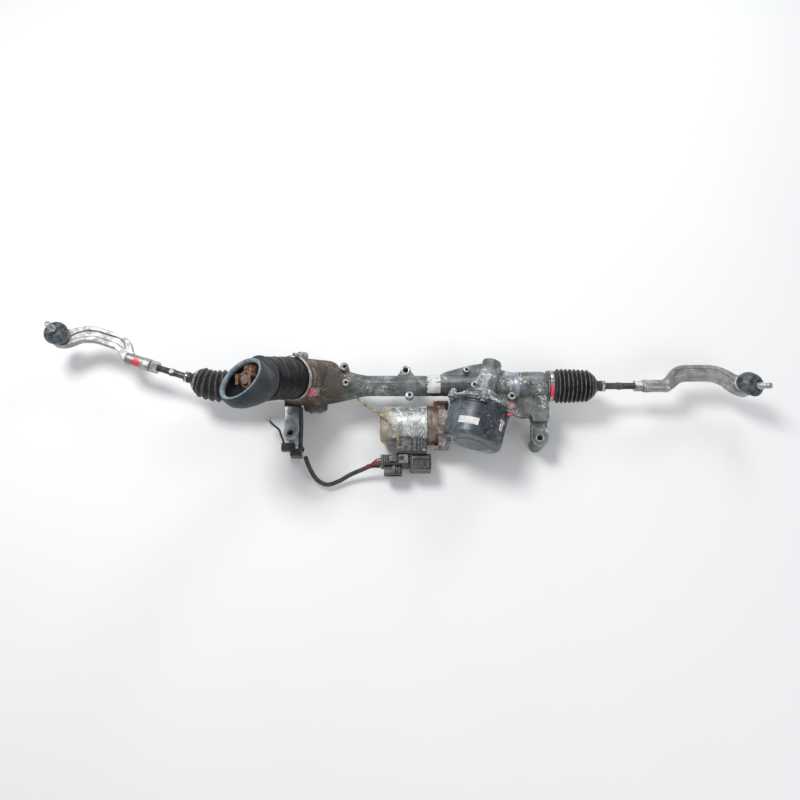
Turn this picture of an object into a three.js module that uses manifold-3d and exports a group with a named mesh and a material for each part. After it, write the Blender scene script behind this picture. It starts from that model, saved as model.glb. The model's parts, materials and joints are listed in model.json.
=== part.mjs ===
// Dual-pinion electric power steering gear: rack, input pinion with its tower, assist pinion with
// worm drive and motor, both tie rods with inner and outer ball joints, bellows and wiring.
// Millimetres, +X along the rack, +Z up. The rack axis is drawn on the X axis; at the end the whole
// group is moved so that the centre of the box stands on the origin.
import * as THREE from "three";
import { mergeVertices } from "three/addons/utils/BufferGeometryUtils.js";
import Module from "manifold-3d";

const wasm = await Module();
wasm.setup();

// ---------------------------------------------------------------- driving dimensions
const GAP = 0.3;
const FLOOR = -70;
const BAR_R = 13;
const BALL_SPAN = 676;
const REST_SHIFT = -12;
const TUBE_R = 19.5;
const TUBE_BORE_R = 15.5;
const END_R = 25;
const END_BORE_R = 21.5;
const HOUSING_LEFT = -300;
const HOUSING_RIGHT = 290;
const END_BORE_DEPTH = 56;

const MODULE = 2.1;
const PINION_TEETH = 8;
const PITCH_R = MODULE * PINION_TEETH / 2;
const PRESSURE = THREE.MathUtils.degToRad(30);
const RACK_ADDENDUM = 1.6;
const RACK_DEDENDUM = 2.05;
const PINION_ADDENDUM = 1.7;
const PINION_DEDENDUM = 1.95;
const BACKLASH = 0.28;
const TOOTH_TOP = 9.9;
const PINION_OFFSET = TOOTH_TOP - RACK_ADDENDUM + PITCH_R;

const INPUT_X = -160;
const INPUT_TILT = THREE.MathUtils.degToRad(29.7);
const INPUT_LEAN = THREE.MathUtils.degToRad(23);
const ASSIST_X = 163;
const ASSIST_TILT = THREE.MathUtils.degToRad(16);

const WHEEL_TEETH = 41;
const WHEEL_MODULE = 1.9;
const WHEEL_R = WHEEL_TEETH * WHEEL_MODULE / 2;
const WORM_STARTS = 2;
const WORM_AXIAL_PITCH = Math.PI * WHEEL_MODULE / Math.cos(ASSIST_TILT);
const WORM_LEAD = WORM_STARTS * WORM_AXIAL_PITCH;
const WORM_R = WORM_LEAD / (2 * Math.PI * Math.tan(ASSIST_TILT));
const WHEEL_STATION = 72;
const FLANGE_STATION = 46;
const GEAR_CASE_R = 55;

const ROD_R = 6.3;
const ROD_LENGTH = 328;
const LEFT_SWING = THREE.MathUtils.degToRad(18);
const INNER_BALL_R = 12.3;
const OUTER_BALL_R = 11.5;
const STUD_TOP = 58;
const RIGHT_STUD = [0.40, -0.32, 0.86];
const LEFT_STUD = [0, 0.05, 1];

// ---------------------------------------------------------------- materials
const looks = {
  casting: ["#8d9592", 0.35, 0.6],
  dark_casting: ["#6f675c", 0.4, 0.5],
  steel: ["#a9adb0", 0.35, 0.9],
  dark_steel: ["#4b4e52", 0.45, 0.8],
  bearing: ["#c4c8cc", 0.25, 0.9],
  motor: ["#b9bbba", 0.4, 0.7],
  rust: ["#7a4a30", 0.8, 0.3],
  black_paint: ["#16191c", 0.2, 0.3],
  black_plastic: ["#1c1d1f", 0.55, 0],
  rubber: ["#202224", 0.6, 0],
  slate_rubber: ["#39424b", 0.6, 0],
  nylon: ["#d9d2bd", 0.5, 0],
  copper: ["#a5633a", 0.45, 0.8],
  cream: ["#c9bd96", 0.6, 0],
  bracket: ["#aab4bd", 0.45, 0.6],
};
const object = new THREE.Group();

// ---------------------------------------------------------------- solids
function V(x, y, z) {
  return new THREE.Vector3(x, y, z);
}

function solid(geometry) {
  const bare = new THREE.BufferGeometry();
  bare.setAttribute("position", geometry.getAttribute("position"));
  if (geometry.index) bare.setIndex(geometry.index);
  const merged = mergeVertices(bare, 1e-4);
  const at = merged.getAttribute("position");
  const index = [...merged.index.array];
  const faces = [];
  let volume = 0;
  for (let i = 0; i < index.length; i += 3) {
    const [a, b, c] = index.slice(i, i + 3);
    if (a === b || b === c || a === c) continue;
    faces.push([a, b, c]);
    const p = V().fromBufferAttribute(at, a);
    const q = V().fromBufferAttribute(at, b);
    const r = V().fromBufferAttribute(at, c);
    volume += p.dot(q.cross(r));
  }
  const outward = volume < 0 ? faces.map(([a, b, c]) => [a, c, b]) : faces;
  return new wasm.Manifold(new wasm.Mesh({
    numProp: 3,
    vertProperties: new Float32Array(at.array),
    triVerts: new Uint32Array(outward.flat()),
  }));
}

function join(...parts) {
  return parts.reduce((whole, part) => whole.add(part));
}

function cut(body, ...tools) {
  return tools.reduce((left, tool) => left.subtract(tool), body);
}

function node(name, body, look) {
  const mesh = body.getMesh();
  const geometry = new THREE.BufferGeometry();
  geometry.setAttribute("position", new THREE.BufferAttribute(new Float32Array(mesh.vertProperties), 3));
  geometry.setIndex(new THREE.BufferAttribute(new Uint32Array(mesh.triVerts), 1));
  geometry.computeVertexNormals();
  const [color, roughness, metalness] = looks[look];
  const material = new THREE.MeshStandardMaterial({ color, roughness, metalness });
  material.name = name;
  const part = new THREE.Mesh(geometry, material);
  part.name = name;
  object.add(part);
}

// Turns a geometry whose own axis is +Y so that it stands on origin and points along axis.
function along(geometry, origin, axis, side = V(1, 0.01, 0.02)) {
  const y = axis.clone().normalize();
  const z = V().crossVectors(side, y).normalize();
  const x = V().crossVectors(y, z);
  return geometry.applyMatrix4(new THREE.Matrix4().makeBasis(x, y, z).setPosition(origin));
}

function facets(r) {
  const steps = [[5, 8], [10, 12], [22, 14], [32, 16], [48, 20]];
  const match = steps.find(([limit]) => r < limit);
  return match ? match[1] : 24;
}

function rod(from, to, r, rEnd = r, sides = facets(Math.max(r, rEnd))) {
  const axis = V().subVectors(to, from);
  const length = axis.length();
  return solid(along(new THREE.CylinderGeometry(rEnd, r, length, sides).translate(0, length / 2, 0), from, axis));
}

// A turned body: profile of [radius, station] pairs, from axis to axis or closed on itself.
function turned(profile, origin, axis, sides = facets(Math.max(...profile.map(([r]) => r)))) {
  const points = profile.map(([r, s]) => new THREE.Vector2(r, s));
  if (profile[0][0] > 0) points.push(points[0].clone());
  return solid(along(new THREE.LatheGeometry(points, sides), origin, axis));
}

// Turns the far end of a soft part about a pivot, growing from nothing at near to the whole angle at far.
function bent(geometry, turn, near, far) {
  const at = geometry.getAttribute("position");
  for (let i = 0; i < at.count; i += 1) {
    const p = V().fromBufferAttribute(at, i);
    const reach = p.clone().sub(turn.pivot).dot(turn.along);
    const t = Math.min(1, Math.max(0, (reach - near) / (far - near)));
    const turnedPoint = p.clone().sub(turn.pivot).applyAxisAngle(turn.axis, turn.angle).add(turn.pivot);
    p.lerp(turnedPoint, t * t * (3 - 2 * t));
    at.setXYZ(i, p.x, p.y, p.z);
  }
  return geometry;
}

function arc(radius, fromDeg, toDeg, count) {
  const points = [];
  for (let i = 0; i <= count; i += 1) {
    const a = THREE.MathUtils.degToRad(fromDeg + (toDeg - fromDeg) * i / count);
    points.push([Math.max(0, radius * Math.cos(a)), radius * Math.sin(a)]);
  }
  points.forEach((p) => { if (p[0] < 1e-6) p[0] = 0; });
  return points;
}

// A plate: outline in the plane of side and up, thickness along their cross product.
function plate(outline, thickness, origin, side, up, holes = []) {
  const shape = new THREE.Shape(outline.map(([a, b]) => new THREE.Vector2(a, b)));
  for (const [x, y, r] of holes) shape.holes.push(new THREE.Path().absarc(x, y, r, 0, 2 * Math.PI, true));
  const x = side.clone().normalize();
  const z = V().crossVectors(x, up).normalize();
  const y = V().crossVectors(z, x);
  const geometry = new THREE.ExtrudeGeometry(shape, { depth: thickness, bevelEnabled: false, curveSegments: 8 });
  return solid(geometry.applyMatrix4(new THREE.Matrix4().makeBasis(x, y, z).setPosition(origin)));
}

function flat(outline, zLow, zHigh, holes = []) {
  return plate(outline, zHigh - zLow, V(0, 0, zLow), V(1, 0, 0), V(0, 1, 0), holes);
}

function block(xs, ys, zs) {
  const [x0, x1] = xs;
  const [y0, y1] = ys;
  const [z0, z1] = zs;
  const geometry = new THREE.BoxGeometry(x1 - x0, y1 - y0, z1 - z0);
  return solid(geometry.translate((x0 + x1) / 2, (y0 + y1) / 2, (z0 + z1) / 2));
}

function tube(points, r, sides, steps) {
  const path = new THREE.CatmullRomCurve3(points.map((p) => V(...p)), false, "centripetal");
  const ring = Array.from({ length: sides }, (_, i) => {
    const a = 2 * Math.PI * i / sides;
    return new THREE.Vector2(r * Math.cos(a), r * Math.sin(a));
  });
  return solid(new THREE.ExtrudeGeometry(new THREE.Shape(ring), { steps, extrudePath: path, bevelEnabled: false }));
}

function sleeve(from, to, outer, inner, sides = facets(outer)) {
  const axis = V().subVectors(to, from);
  const length = axis.length();
  return turned([[inner, 0], [outer, 0], [outer, length], [inner, length]], from, axis, sides);
}

function hexNut(centre, axis, across, length, bore) {
  const start = centre.clone().addScaledVector(axis, -length / 2);
  const end = centre.clone().addScaledVector(axis, length / 2);
  const body = rod(start, end, across / Math.sqrt(3), across / Math.sqrt(3), 6);
  return bore ? cut(body, rod(start.clone().sub(axis), end.clone().add(axis), bore)) : body;
}

// ---------------------------------------------------------------- axes
const X = V(1, 0, 0);
const Z = V(0, 0, 1);
const inputNormal = V(0, Math.cos(INPUT_LEAN), Math.sin(INPUT_LEAN));
const inputUp = V(0, -Math.sin(INPUT_LEAN), Math.cos(INPUT_LEAN));
const inputAxis = inputUp.clone().multiplyScalar(Math.cos(INPUT_TILT)).addScaledVector(X, -Math.sin(INPUT_TILT));
const inputRoot = V(INPUT_X, 0, 0).addScaledVector(inputNormal, PINION_OFFSET);
const assistAxis = V(-Math.sin(ASSIST_TILT), -Math.cos(ASSIST_TILT), 0);
const assistRoot = V(ASSIST_X, 0, PINION_OFFSET);
const onInput = (s) => inputRoot.clone().addScaledVector(inputAxis, s);
const onAssist = (s) => assistRoot.clone().addScaledVector(assistAxis, s);
const wormCentre = onAssist(WHEEL_STATION).addScaledVector(Z, -(WHEEL_R + WORM_R));
const onWorm = (x) => V(x, wormCentre.y, wormCentre.z);
const inputYokeAxis = inputNormal.clone().negate();
const assistYokeAxis = Z.clone().negate();

// ---------------------------------------------------------------- gear teeth
function pinionOutline(turn) {
  const base = PITCH_R * Math.cos(PRESSURE);
  const tip = PITCH_R + PINION_ADDENDUM;
  const root = PITCH_R - PINION_DEDENDUM;
  const involute = (angle) => Math.tan(angle) - angle;
  const half = (Math.PI * MODULE - BACKLASH) / 4 / PITCH_R;
  const flank = [[root, half + involute(PRESSURE)]];
  for (let i = 0; i <= 3; i += 1) {
    const r = base + (tip - base) * i / 3;
    flank.push([r, half + involute(PRESSURE) - involute(Math.acos(Math.min(1, base / r)))]);
  }
  const tooth = [...flank.map(([r, a]) => [r, -a]), ...flank.reverse()];
  const outline = [];
  for (let i = 0; i < PINION_TEETH; i += 1) {
    const centre = turn + 2 * Math.PI * i / PINION_TEETH;
    for (const [r, a] of tooth) outline.push([r * Math.cos(centre + a), r * Math.sin(centre + a)]);
  }
  return outline;
}

// The comb that cuts the rack: its fingers are the tooth spaces, its back clears everything above. It
// runs slantwise off the bar, so its fingers are long enough to span the bar at both ends.
function rackComb(x, normal, axis, before, after) {
  const pitch = Math.PI * MODULE;
  const slope = Math.tan(PRESSURE);
  const line = TOOTH_TOP - RACK_ADDENDUM;
  const half = (pitch + BACKLASH) / 4;
  const outline = [];
  for (let i = -before; i <= after; i += 1) {
    outline.push([i * pitch - half - RACK_ADDENDUM * slope, TOOTH_TOP]);
    outline.push([i * pitch - half + RACK_DEDENDUM * slope, line - RACK_DEDENDUM]);
    outline.push([i * pitch + half - RACK_DEDENDUM * slope, line - RACK_DEDENDUM]);
    outline.push([i * pitch + half + RACK_ADDENDUM * slope, TOOTH_TOP]);
  }
  outline.push([(after + 0.6) * pitch, BAR_R + 2]);
  outline.push([-(before + 0.6) * pitch, BAR_R + 2]);
  const across = V().crossVectors(normal, axis).normalize();
  const reach = (before + 1) * pitch * Math.tan(INPUT_TILT) + BAR_R;
  const direction = across.dot(X) > 0 ? across : across.negate();
  const depth = V().crossVectors(direction, normal);
  return plate(outline, 2 * reach, V(x, 0, 0).addScaledVector(depth, -reach), direction, normal);
}

// ---------------------------------------------------------------- rack
const leftBall = V(-BALL_SPAN / 2 + REST_SHIFT, 0, 0);
const rightBall = V(BALL_SPAN / 2 + REST_SHIFT, 0, 0);
const SOCKET_BACK = 24;
const barLeft = leftBall.x + SOCKET_BACK + GAP;
const barRight = rightBall.x - SOCKET_BACK - GAP;
node("rack_bar", cut(
  rod(V(barLeft, 0, 0), V(barRight, 0, 0), BAR_R),
  rackComb(INPUT_X, inputNormal, inputAxis, 12, 9),
  rackComb(ASSIST_X, Z, assistAxis, 13, 10),
), "steel");

const socketProfile = [
  [0, -SOCKET_BACK], [15, -SOCKET_BACK], [18, -20], [18, 6], [15.5, 12], [12.9, 12],
  ...arc(15.9, 34, -90, 6),
];
const seatProfile = [...arc(15, 26, -90, 5).reverse(), ...arc(INNER_BALL_R + 0.6, 26, -90, 5)];

// ---------------------------------------------------------------- tie rods
const NECK_R = 5.6;
const JAM_NUT_STATION = 126;
const END_BODY_START = 134.5;
const END_BODY_END = 178;
const rodProfile = [
  ...arc(INNER_BALL_R, -90, 60, 7), [NECK_R, 15], [ROD_R, 26], [ROD_R, 162], [0, 162],
];
const armOutline = [
  [172, -11], [186, -10], [198, -1], [212, 11], [262, 12], [284, 6], [300, -10], [314, -18],
  [328, -18], [328, 18], [314, 19], [302, 28], [282, 38], [262, 41], [208, 40], [192, 33], [178, 14], [172, 12],
];
const channelOutline = [[216, 19], [260, 20], [282, 14], [292, 20], [278, 29], [260, 33], [216, 32], [208, 26]];

function outerEnd(ball, direction) {
  const centre = ball.clone().addScaledVector(direction, ROD_LENGTH);
  const lift = (s, low) => ball.clone().addScaledVector(direction, s).addScaledVector(Z, low);
  const up = V(0, 1, 0).addScaledVector(direction, -direction.y).normalize();
  const turnedUp = V().crossVectors(direction, up).z > 0;
  const slab = (outline, low, high) => {
    const origin = lift(0, turnedUp ? low : high);
    return plate(outline, high - low, origin, direction, up);
  };
  const housing = turned([[0, -17], [13, -17], [18, -14], [19, -9], [19, 10], [17.6, 13], [0, 13]], centre, Z);
  const cavity = join(
    turned(arc(OUTER_BALL_R + 2.9, -90, 90, 8), centre, Z),
    rod(centre.clone().addScaledVector(Z, 7), centre.clone().addScaledVector(Z, 14), 11, 16),
  );
  const body = rod(lift(END_BODY_START, 0), lift(END_BODY_END, 0), 12, 11.5);
  const bore = rod(lift(END_BODY_START - 1, 0), lift(164, 0), ROD_R + GAP);
  return cut(
    join(body, slab(armOutline, -8, 8), housing),
    cavity,
    bore,
    slab(channelOutline, 5, 9),
    slab(channelOutline, -9, -5),
  );
}

function tieRod(side, ball, direction, stud) {
  const at = (s) => ball.clone().addScaledVector(direction, s);
  const outboard = side === "left" ? X.clone().negate() : X.clone();
  node(`inner_socket_${side}`, turned(socketProfile, ball, outboard), "dark_steel");
  node(`inner_seat_${side}`, turned(seatProfile, ball, direction), "nylon");
  node(`tie_rod_${side}`, turned(rodProfile, ball, direction), "dark_steel");
  node(`jam_nut_${side}`, hexNut(at(JAM_NUT_STATION), direction, 20, 15, ROD_R + GAP), "steel");
  node(`outer_end_${side}`, outerEnd(ball, direction), "steel");
  const centre = at(ROD_LENGTH);
  const axis = V(...stud).normalize();
  node(`outer_seat_${side}`, turned(
    [...arc(OUTER_BALL_R + 2.3, 25, -90, 5).reverse(), ...arc(OUTER_BALL_R + 0.6, 25, -90, 5)],
    centre, Z,
  ), "nylon");
  node(`ball_stud_${side}`, turned([
    ...arc(OUTER_BALL_R, -90, 60, 7), [5, 14], [5.2, 20], [8, 23], [8, 27], [6.4, 42], [5.5, 43],
    [5.5, STUD_TOP - 1], [4.6, STUD_TOP], [0, STUD_TOP],
  ], centre, axis), "steel");
  const boot = new THREE.LatheGeometry([
    [17.9, 13.4], [21.5, 15], [23, 20], [20, 28], [12, 33], [8.6, 33], [8.6, 29], [17, 25], [20, 20], [17.9, 13.4],
  ].map(([r, s]) => new THREE.Vector2(r, s)), 14);
  const tilt = { pivot: centre, along: Z, axis: V().crossVectors(Z, axis).normalize(), angle: Z.angleTo(axis) };
  node(`stud_boot_${side}`, solid(bent(along(boot, centre, Z), tilt, 14, 28)), "rubber");
}

const leftDirection = V(-Math.cos(LEFT_SWING), Math.sin(LEFT_SWING), 0);
tieRod("left", leftBall, leftDirection, LEFT_STUD);
tieRod("right", rightBall, X, RIGHT_STUD);

// ---------------------------------------------------------------- bellows
const BELLOWS_PITCH = 13.5;
function bellowsProfile(length, bigR) {
  const count = Math.round((length - 35) / BELLOWS_PITCH);
  const outer = [[END_R + 0.8, -12], [END_R + 3, -12], [END_R + 3, 2]];
  for (let i = 0; i < count; i += 1) {
    const crest = bigR - 0.35 * i;
    outer.push([crest, 6 + i * BELLOWS_PITCH]);
    outer.push([crest - 5, 6 + (i + 0.5) * BELLOWS_PITCH]);
  }
  outer.push([bigR - 9, length - 16], [bigR - 17, length - 9], [9.5, length - 6], [9.5, length + 5]);
  outer.push([ROD_R + GAP, length + 5], [ROD_R + GAP, length - 8]);
  outer.push([bigR - 19, length - 12], [bigR - 11, length - 19], [bigR - 7.4, length - 28], [END_R + 0.8, 4]);
  return outer;
}

function bellows(side, end, outboard, ball, angle) {
  const points = bellowsProfile(Math.abs(ball.x - end.x) + 58, side === "left" ? 31.5 : 33);
  points.push(points[0]);
  const lathe = new THREE.LatheGeometry(points.map(([r, s]) => new THREE.Vector2(r, s)), 16);
  const straight = along(lathe, end, outboard);
  const turn = { pivot: ball, along: outboard, axis: Z, angle };
  node(`boot_${side}`, solid(bent(straight, turn, -22, 40)), "rubber");
  const from = end.clone().addScaledVector(outboard, -9);
  const to = end.clone().addScaledVector(outboard, -2);
  node(`boot_clamp_${side}`, join(
    sleeve(from, to, END_R + 5, END_R + 3.7),
    block([Math.min(from.x, to.x) + 1, Math.max(from.x, to.x) - 1], [-5, 5], [END_R + 3.8, END_R + 8]),
  ), "steel");
}

bellows("left", V(HOUSING_LEFT, 0, 0), X.clone().negate(), leftBall, -LEFT_SWING);
bellows("right", V(HOUSING_RIGHT, 0, 0), X, rightBall, 0);

// ---------------------------------------------------------------- rack housing
const TOWER_R = 19;
const TOWER_BACK = -44;
const TOWER_FACE = 30;
const YOKE_BORE_R = 14.5;
const YOKE_REACH = 47;
const leftEyeCentre = V(-206, -88, 0);
const boltAt = V(-206, -47, 0);
const rightEyeCentre = V(262, -99, 0);
const rearEyeCentre = V(11, 31, 0);
const EYE_BORE_R = 5.5;

function ringBoss(x, y, low, high, r, bore) {
  return cut(rod(V(x, y, low), V(x, y, high), r, r, 12), rod(V(x, y, high - 9), V(x, y, high + 1), bore));
}

const tubeShell = turned([
  [0, HOUSING_LEFT], [END_R, HOUSING_LEFT], [END_R, -226], [30, -214], [36, -200], [37, -150], [32, -118],
  [21, -72], [TUBE_R, -60], [TUBE_R, 200], [21, 205], [21, 210], [25, 215], [27, 230], [27, 270],
  [END_R, 274], [END_R, HOUSING_RIGHT], [0, HOUSING_RIGHT],
], V(0, 0, 0), X, 20);
const tubeBore = turned([
  [0, HOUSING_LEFT - 1], [END_BORE_R, HOUSING_LEFT - 1], [END_BORE_R, HOUSING_LEFT + END_BORE_DEPTH],
  [TUBE_BORE_R, HOUSING_LEFT + END_BORE_DEPTH + 5], [TUBE_BORE_R, HOUSING_RIGHT - END_BORE_DEPTH - 5],
  [END_BORE_R, HOUSING_RIGHT - END_BORE_DEPTH], [END_BORE_R, HOUSING_RIGHT + 1], [0, HOUSING_RIGHT + 1],
], V(0, 0, 0), X, 20);

const gusset = flat([
  [66, 14], [84, 26], [104, 32], [132, 40], [160, 45], [178, 40], [196, 30], [222, 24],
  [222, -20], [246, -22], [246, -62], [232, -66], [206, -58], [180, -34], [150, -22], [66, -14],
], -4, 7);
const rightArm = join(
  flat([[229, -8], [277, -8], [279, -48], [277, -72], [248, -72], [240, -44]], -20, 3),
  flat([
    [247, -66], [277, -66], [279, -99], [274.5, -112], [262, -117], [249.5, -112], [245, -99],
  ], -26, -12),
  rod(V(rightEyeCentre.x, rightEyeCentre.y, FLOOR), V(rightEyeCentre.x, rightEyeCentre.y, -12), 13, 14),
);
const rearEar = join(
  rod(V(rearEyeCentre.x, rearEyeCentre.y, FLOOR), V(rearEyeCentre.x, rearEyeCentre.y, 4), 11, 10),
  flat([[-14, 8], [3, 33], [19, 33], [38, 8]], -16, 2),
);
const bracketPad = flat([[-224, 10], [-188, 10], [-191, -58], [-220, -58]], -34, -22);
const bosses = join(
  ringBoss(-104, 26, 8, 36, 8, 3.2),
  ringBoss(-100, -7, 14, 38, 7, 3),
  ringBoss(18, -22, -8, 12, 7.5, 3.2),
  ringBoss(126, 27, -4, 18, 6, 2.8),
  ringBoss(139, -7, 8, 27, 6.5, 3),
  ringBoss(209, -26, -4, 17, 7.5, 3.4),
);
const inputSleeve = rod(onInput(-46), onInput(54), 31, 37);
const assistTower = join(
  rod(onAssist(TOWER_BACK), onAssist(TOWER_FACE + 2), TOWER_R, 22),
  rod(onAssist(TOWER_FACE - 7), onAssist(TOWER_FACE + 1), 30),
);
const inputYokeTube = rod(V(INPUT_X, 0, 0), V(INPUT_X, 0, 0).addScaledVector(inputYokeAxis, YOKE_REACH), 22);
const assistYokeTube = rod(V(ASSIST_X, 0, 0), V(ASSIST_X, 0, 0).addScaledVector(assistYokeAxis, YOKE_REACH), 20);
const inputBores = join(rod(onInput(-46), onInput(25), 17.5), rod(onInput(24), onInput(60), 20.5));
const assistBores = join(rod(onAssist(-36), onAssist(40), 14.5));
const yokeBore = (x, axis) => rod(V(x, 0, 0), V(x, 0, 0).addScaledVector(axis, 60), YOKE_BORE_R);
const eyeBore = (p) => rod(V(p.x, p.y, FLOOR - 1), V(p.x, p.y, 10), EYE_BORE_R, EYE_BORE_R, 16);

const rackHousing = cut(
  join(
    tubeShell, gusset, rightArm, rearEar, bracketPad, bosses, inputSleeve, assistTower,
    inputYokeTube, assistYokeTube,
  ),
  tubeBore, inputBores, assistBores,
  yokeBore(INPUT_X, inputYokeAxis), yokeBore(ASSIST_X, assistYokeAxis),
  eyeBore(rightEyeCentre), eyeBore(rearEyeCentre),
  rod(V(boltAt.x, boltAt.y, -40), V(boltAt.x, boltAt.y, -20), 4.2),
  rod(onInput(-66), onInput(-44), 31.5),
  rod(onInput(52), onInput(90), 40),
  rod(onAssist(TOWER_FACE), onAssist(TOWER_FACE + 30), 60, 60, 12),
);
node("rack_housing", rackHousing, "casting");

// ---------------------------------------------------------------- mounting bracket on the left
const bracketTop = -14;
node("left_mount_bracket", cut(
  join(
    flat([[-219, -36], [-193, -36], [-192, -62], [-193, -88], [-219, -88], [-217, -62]], -21.7, bracketTop),
    rod(V(leftEyeCentre.x, leftEyeCentre.y, FLOOR), V(leftEyeCentre.x, leftEyeCentre.y, bracketTop), 13, 14),
  ),
  eyeBore(leftEyeCentre),
  turned([[0, -230], [31, -230], [38.5, -200], [38.5, -140], [0, -140]], V(0, 0, 0), X),
  inputYokeTube,
).add(join(
  rod(V(boltAt.x, boltAt.y, -33), V(boltAt.x, boltAt.y, bracketTop + 1), 3.7),
  hexNut(V(boltAt.x, boltAt.y, bracketTop + 3), Z, 13, 7, 0),
)), "bracket");

// ---------------------------------------------------------------- rack guides
function rackGuide(side, x, axis, reach) {
  const at = (s) => V(x, 0, 0).addScaledVector(axis, s);
  node(`${side}_yoke`, cut(
    rod(at(2), at(27), YOKE_BORE_R - GAP),
    rod(V(x - 30, 0, 0), V(x + 30, 0, 0), BAR_R + GAP),
    rod(at(20), at(30), 7.5),
  ), "nylon");
  const coil = [];
  for (let i = 0; i <= 20; i += 1) {
    const turn = i / 20 * 2.5 * 2 * Math.PI;
    coil.push(V(5.2 * Math.cos(turn), 21.8 + i * 0.55, 5.2 * Math.sin(turn)));
  }
  const wire = new THREE.Shape(Array.from({ length: 6 }, (_, i) => (
    new THREE.Vector2(1.1 * Math.cos(i * Math.PI / 3), 1.1 * Math.sin(i * Math.PI / 3)))));
  const spring = new THREE.ExtrudeGeometry(wire, {
    steps: 18, extrudePath: new THREE.CatmullRomCurve3(coil), bevelEnabled: false,
  });
  node(`${side}_yoke_spring`, solid(along(spring, at(0), axis)), "dark_steel");
  node(`${side}_yoke_plug`, join(
    rod(at(34.5), at(YOKE_REACH + 1), YOKE_BORE_R - GAP),
    hexNut(at(YOKE_REACH + reach / 2), axis, 22, reach, 0),
  ), "steel");
}
rackGuide("input", INPUT_X, inputYokeAxis, 5);
rackGuide("assist", ASSIST_X, assistYokeAxis, 4);

// ---------------------------------------------------------------- bushes
function bush(name, from, to) {
  node(name, sleeve(V(from, 0, 0), V(to, 0, 0), TUBE_BORE_R - GAP, BAR_R + GAP), "nylon");
}
bush("rack_bush_left", -222, -206);
bush("rack_bush_right", 196, 212);

// ---------------------------------------------------------------- input pinion and tower
const toothSpan = 15;
function pinionTeeth(root, axis, normal) {
  const origin = root.clone().addScaledVector(axis, -toothSpan);
  const side = V().crossVectors(normal, axis);
  return plate(pinionOutline(-Math.PI / 2), 2 * toothSpan, origin, side, normal);
}
node("input_pinion", join(
  pinionTeeth(inputRoot, inputAxis, inputNormal),
  turned([
    [0, -40], [6, -40], [6, 16], [7.5, 20], [7.5, 50], [11, 52], [11, 118], [8.5, 122], [8.5, 196],
    [7.5, 198], [0, 198],
  ], inputRoot, inputAxis),
), "steel");
node("pinion_bearing_lower", sleeve(onInput(-36), onInput(-24), 17.2, 6.3), "bearing");
node("pinion_bearing_upper", sleeve(onInput(28), onInput(42), 20.2, 7.8), "bearing");
node("pinion_cap", turned([
  [0, -52], [18, -52], [21, -49], [30, -47], [30, -44.3], [16.8, -44.3], [16.8, -41], [0, -41],
], inputRoot, inputAxis), "steel");
node("sensor_housing", turned([
  [20.5, 52.3], [36.5, 52.3], [36.5, 60], [33, 62], [33, 118], [26, 128], [13, 128], [13, 121],
  [26, 116], [26, 58], [20.5, 58],
], inputRoot, inputAxis), "dark_casting");
node("torque_sensor", sleeve(onInput(70), onInput(104), 25.2, 13.5), "copper");
const SEAL_NORMAL = V(-0.566, 0.326, 0.758).normalize();
const sealCentre = onInput(205);
node("tower_cover", turned([
  [34, 64], [38.5, 64], [39, 82], [36.5, 92], [39, 108], [37, 150], [34, 150], [34.5, 110],
], inputRoot, inputAxis), "rubber");
node("cover_band", sleeve(onInput(66), onInput(73), 41, 39.8), "steel");
const sealProfile = [
  [36, 0], [40, 3], [44, 0], [45.5, -12], [44, -26], [39, -46], [37.4, -52], [34.5, -52], [40, -28], [41.5, -12],
  [36, 0],
].map(([r, s]) => new THREE.Vector2(r, s));
node("dash_seal", solid(bent(
  along(new THREE.LatheGeometry(sealProfile, 24), sealCentre, inputAxis),
  {
    pivot: sealCentre,
    along: inputAxis,
    axis: V().crossVectors(inputAxis, SEAL_NORMAL).normalize(),
    angle: inputAxis.angleTo(SEAL_NORMAL),
  },
  -48,
  -14,
)), "slate_rubber");
const couplingStart = 164;
node("input_coupling", cut(
  join(
    rod(onInput(couplingStart), onInput(couplingStart + 30), 14, 15),
    plate(
      [[-22, -9], [24, -9], [24, 9], [-22, 9]], 12, onInput(couplingStart + 12),
      V().crossVectors(inputAxis, X).normalize(), V().crossVectors(V().crossVectors(inputAxis, X), inputAxis).negate(),
    ),
  ),
  rod(onInput(couplingStart - 1), onInput(couplingStart + 34), 8.8),
), "rust");

// ---------------------------------------------------------------- assist gear train
node("assist_pinion", join(
  pinionTeeth(assistRoot, assistAxis, Z),
  turned([
    [0, -33], [5.8, -33], [5.8, 16], [7.5, 20], [8, 40], [8, 108], [0, 108],
  ], assistRoot, assistAxis),
), "steel");
node("assist_bearing_inner", sleeve(onAssist(-32), onAssist(-21), 14.2, 6.1), "bearing");
node("assist_bearing_outer", sleeve(onAssist(94), onAssist(106), 17.2, 8.3), "bearing");

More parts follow.
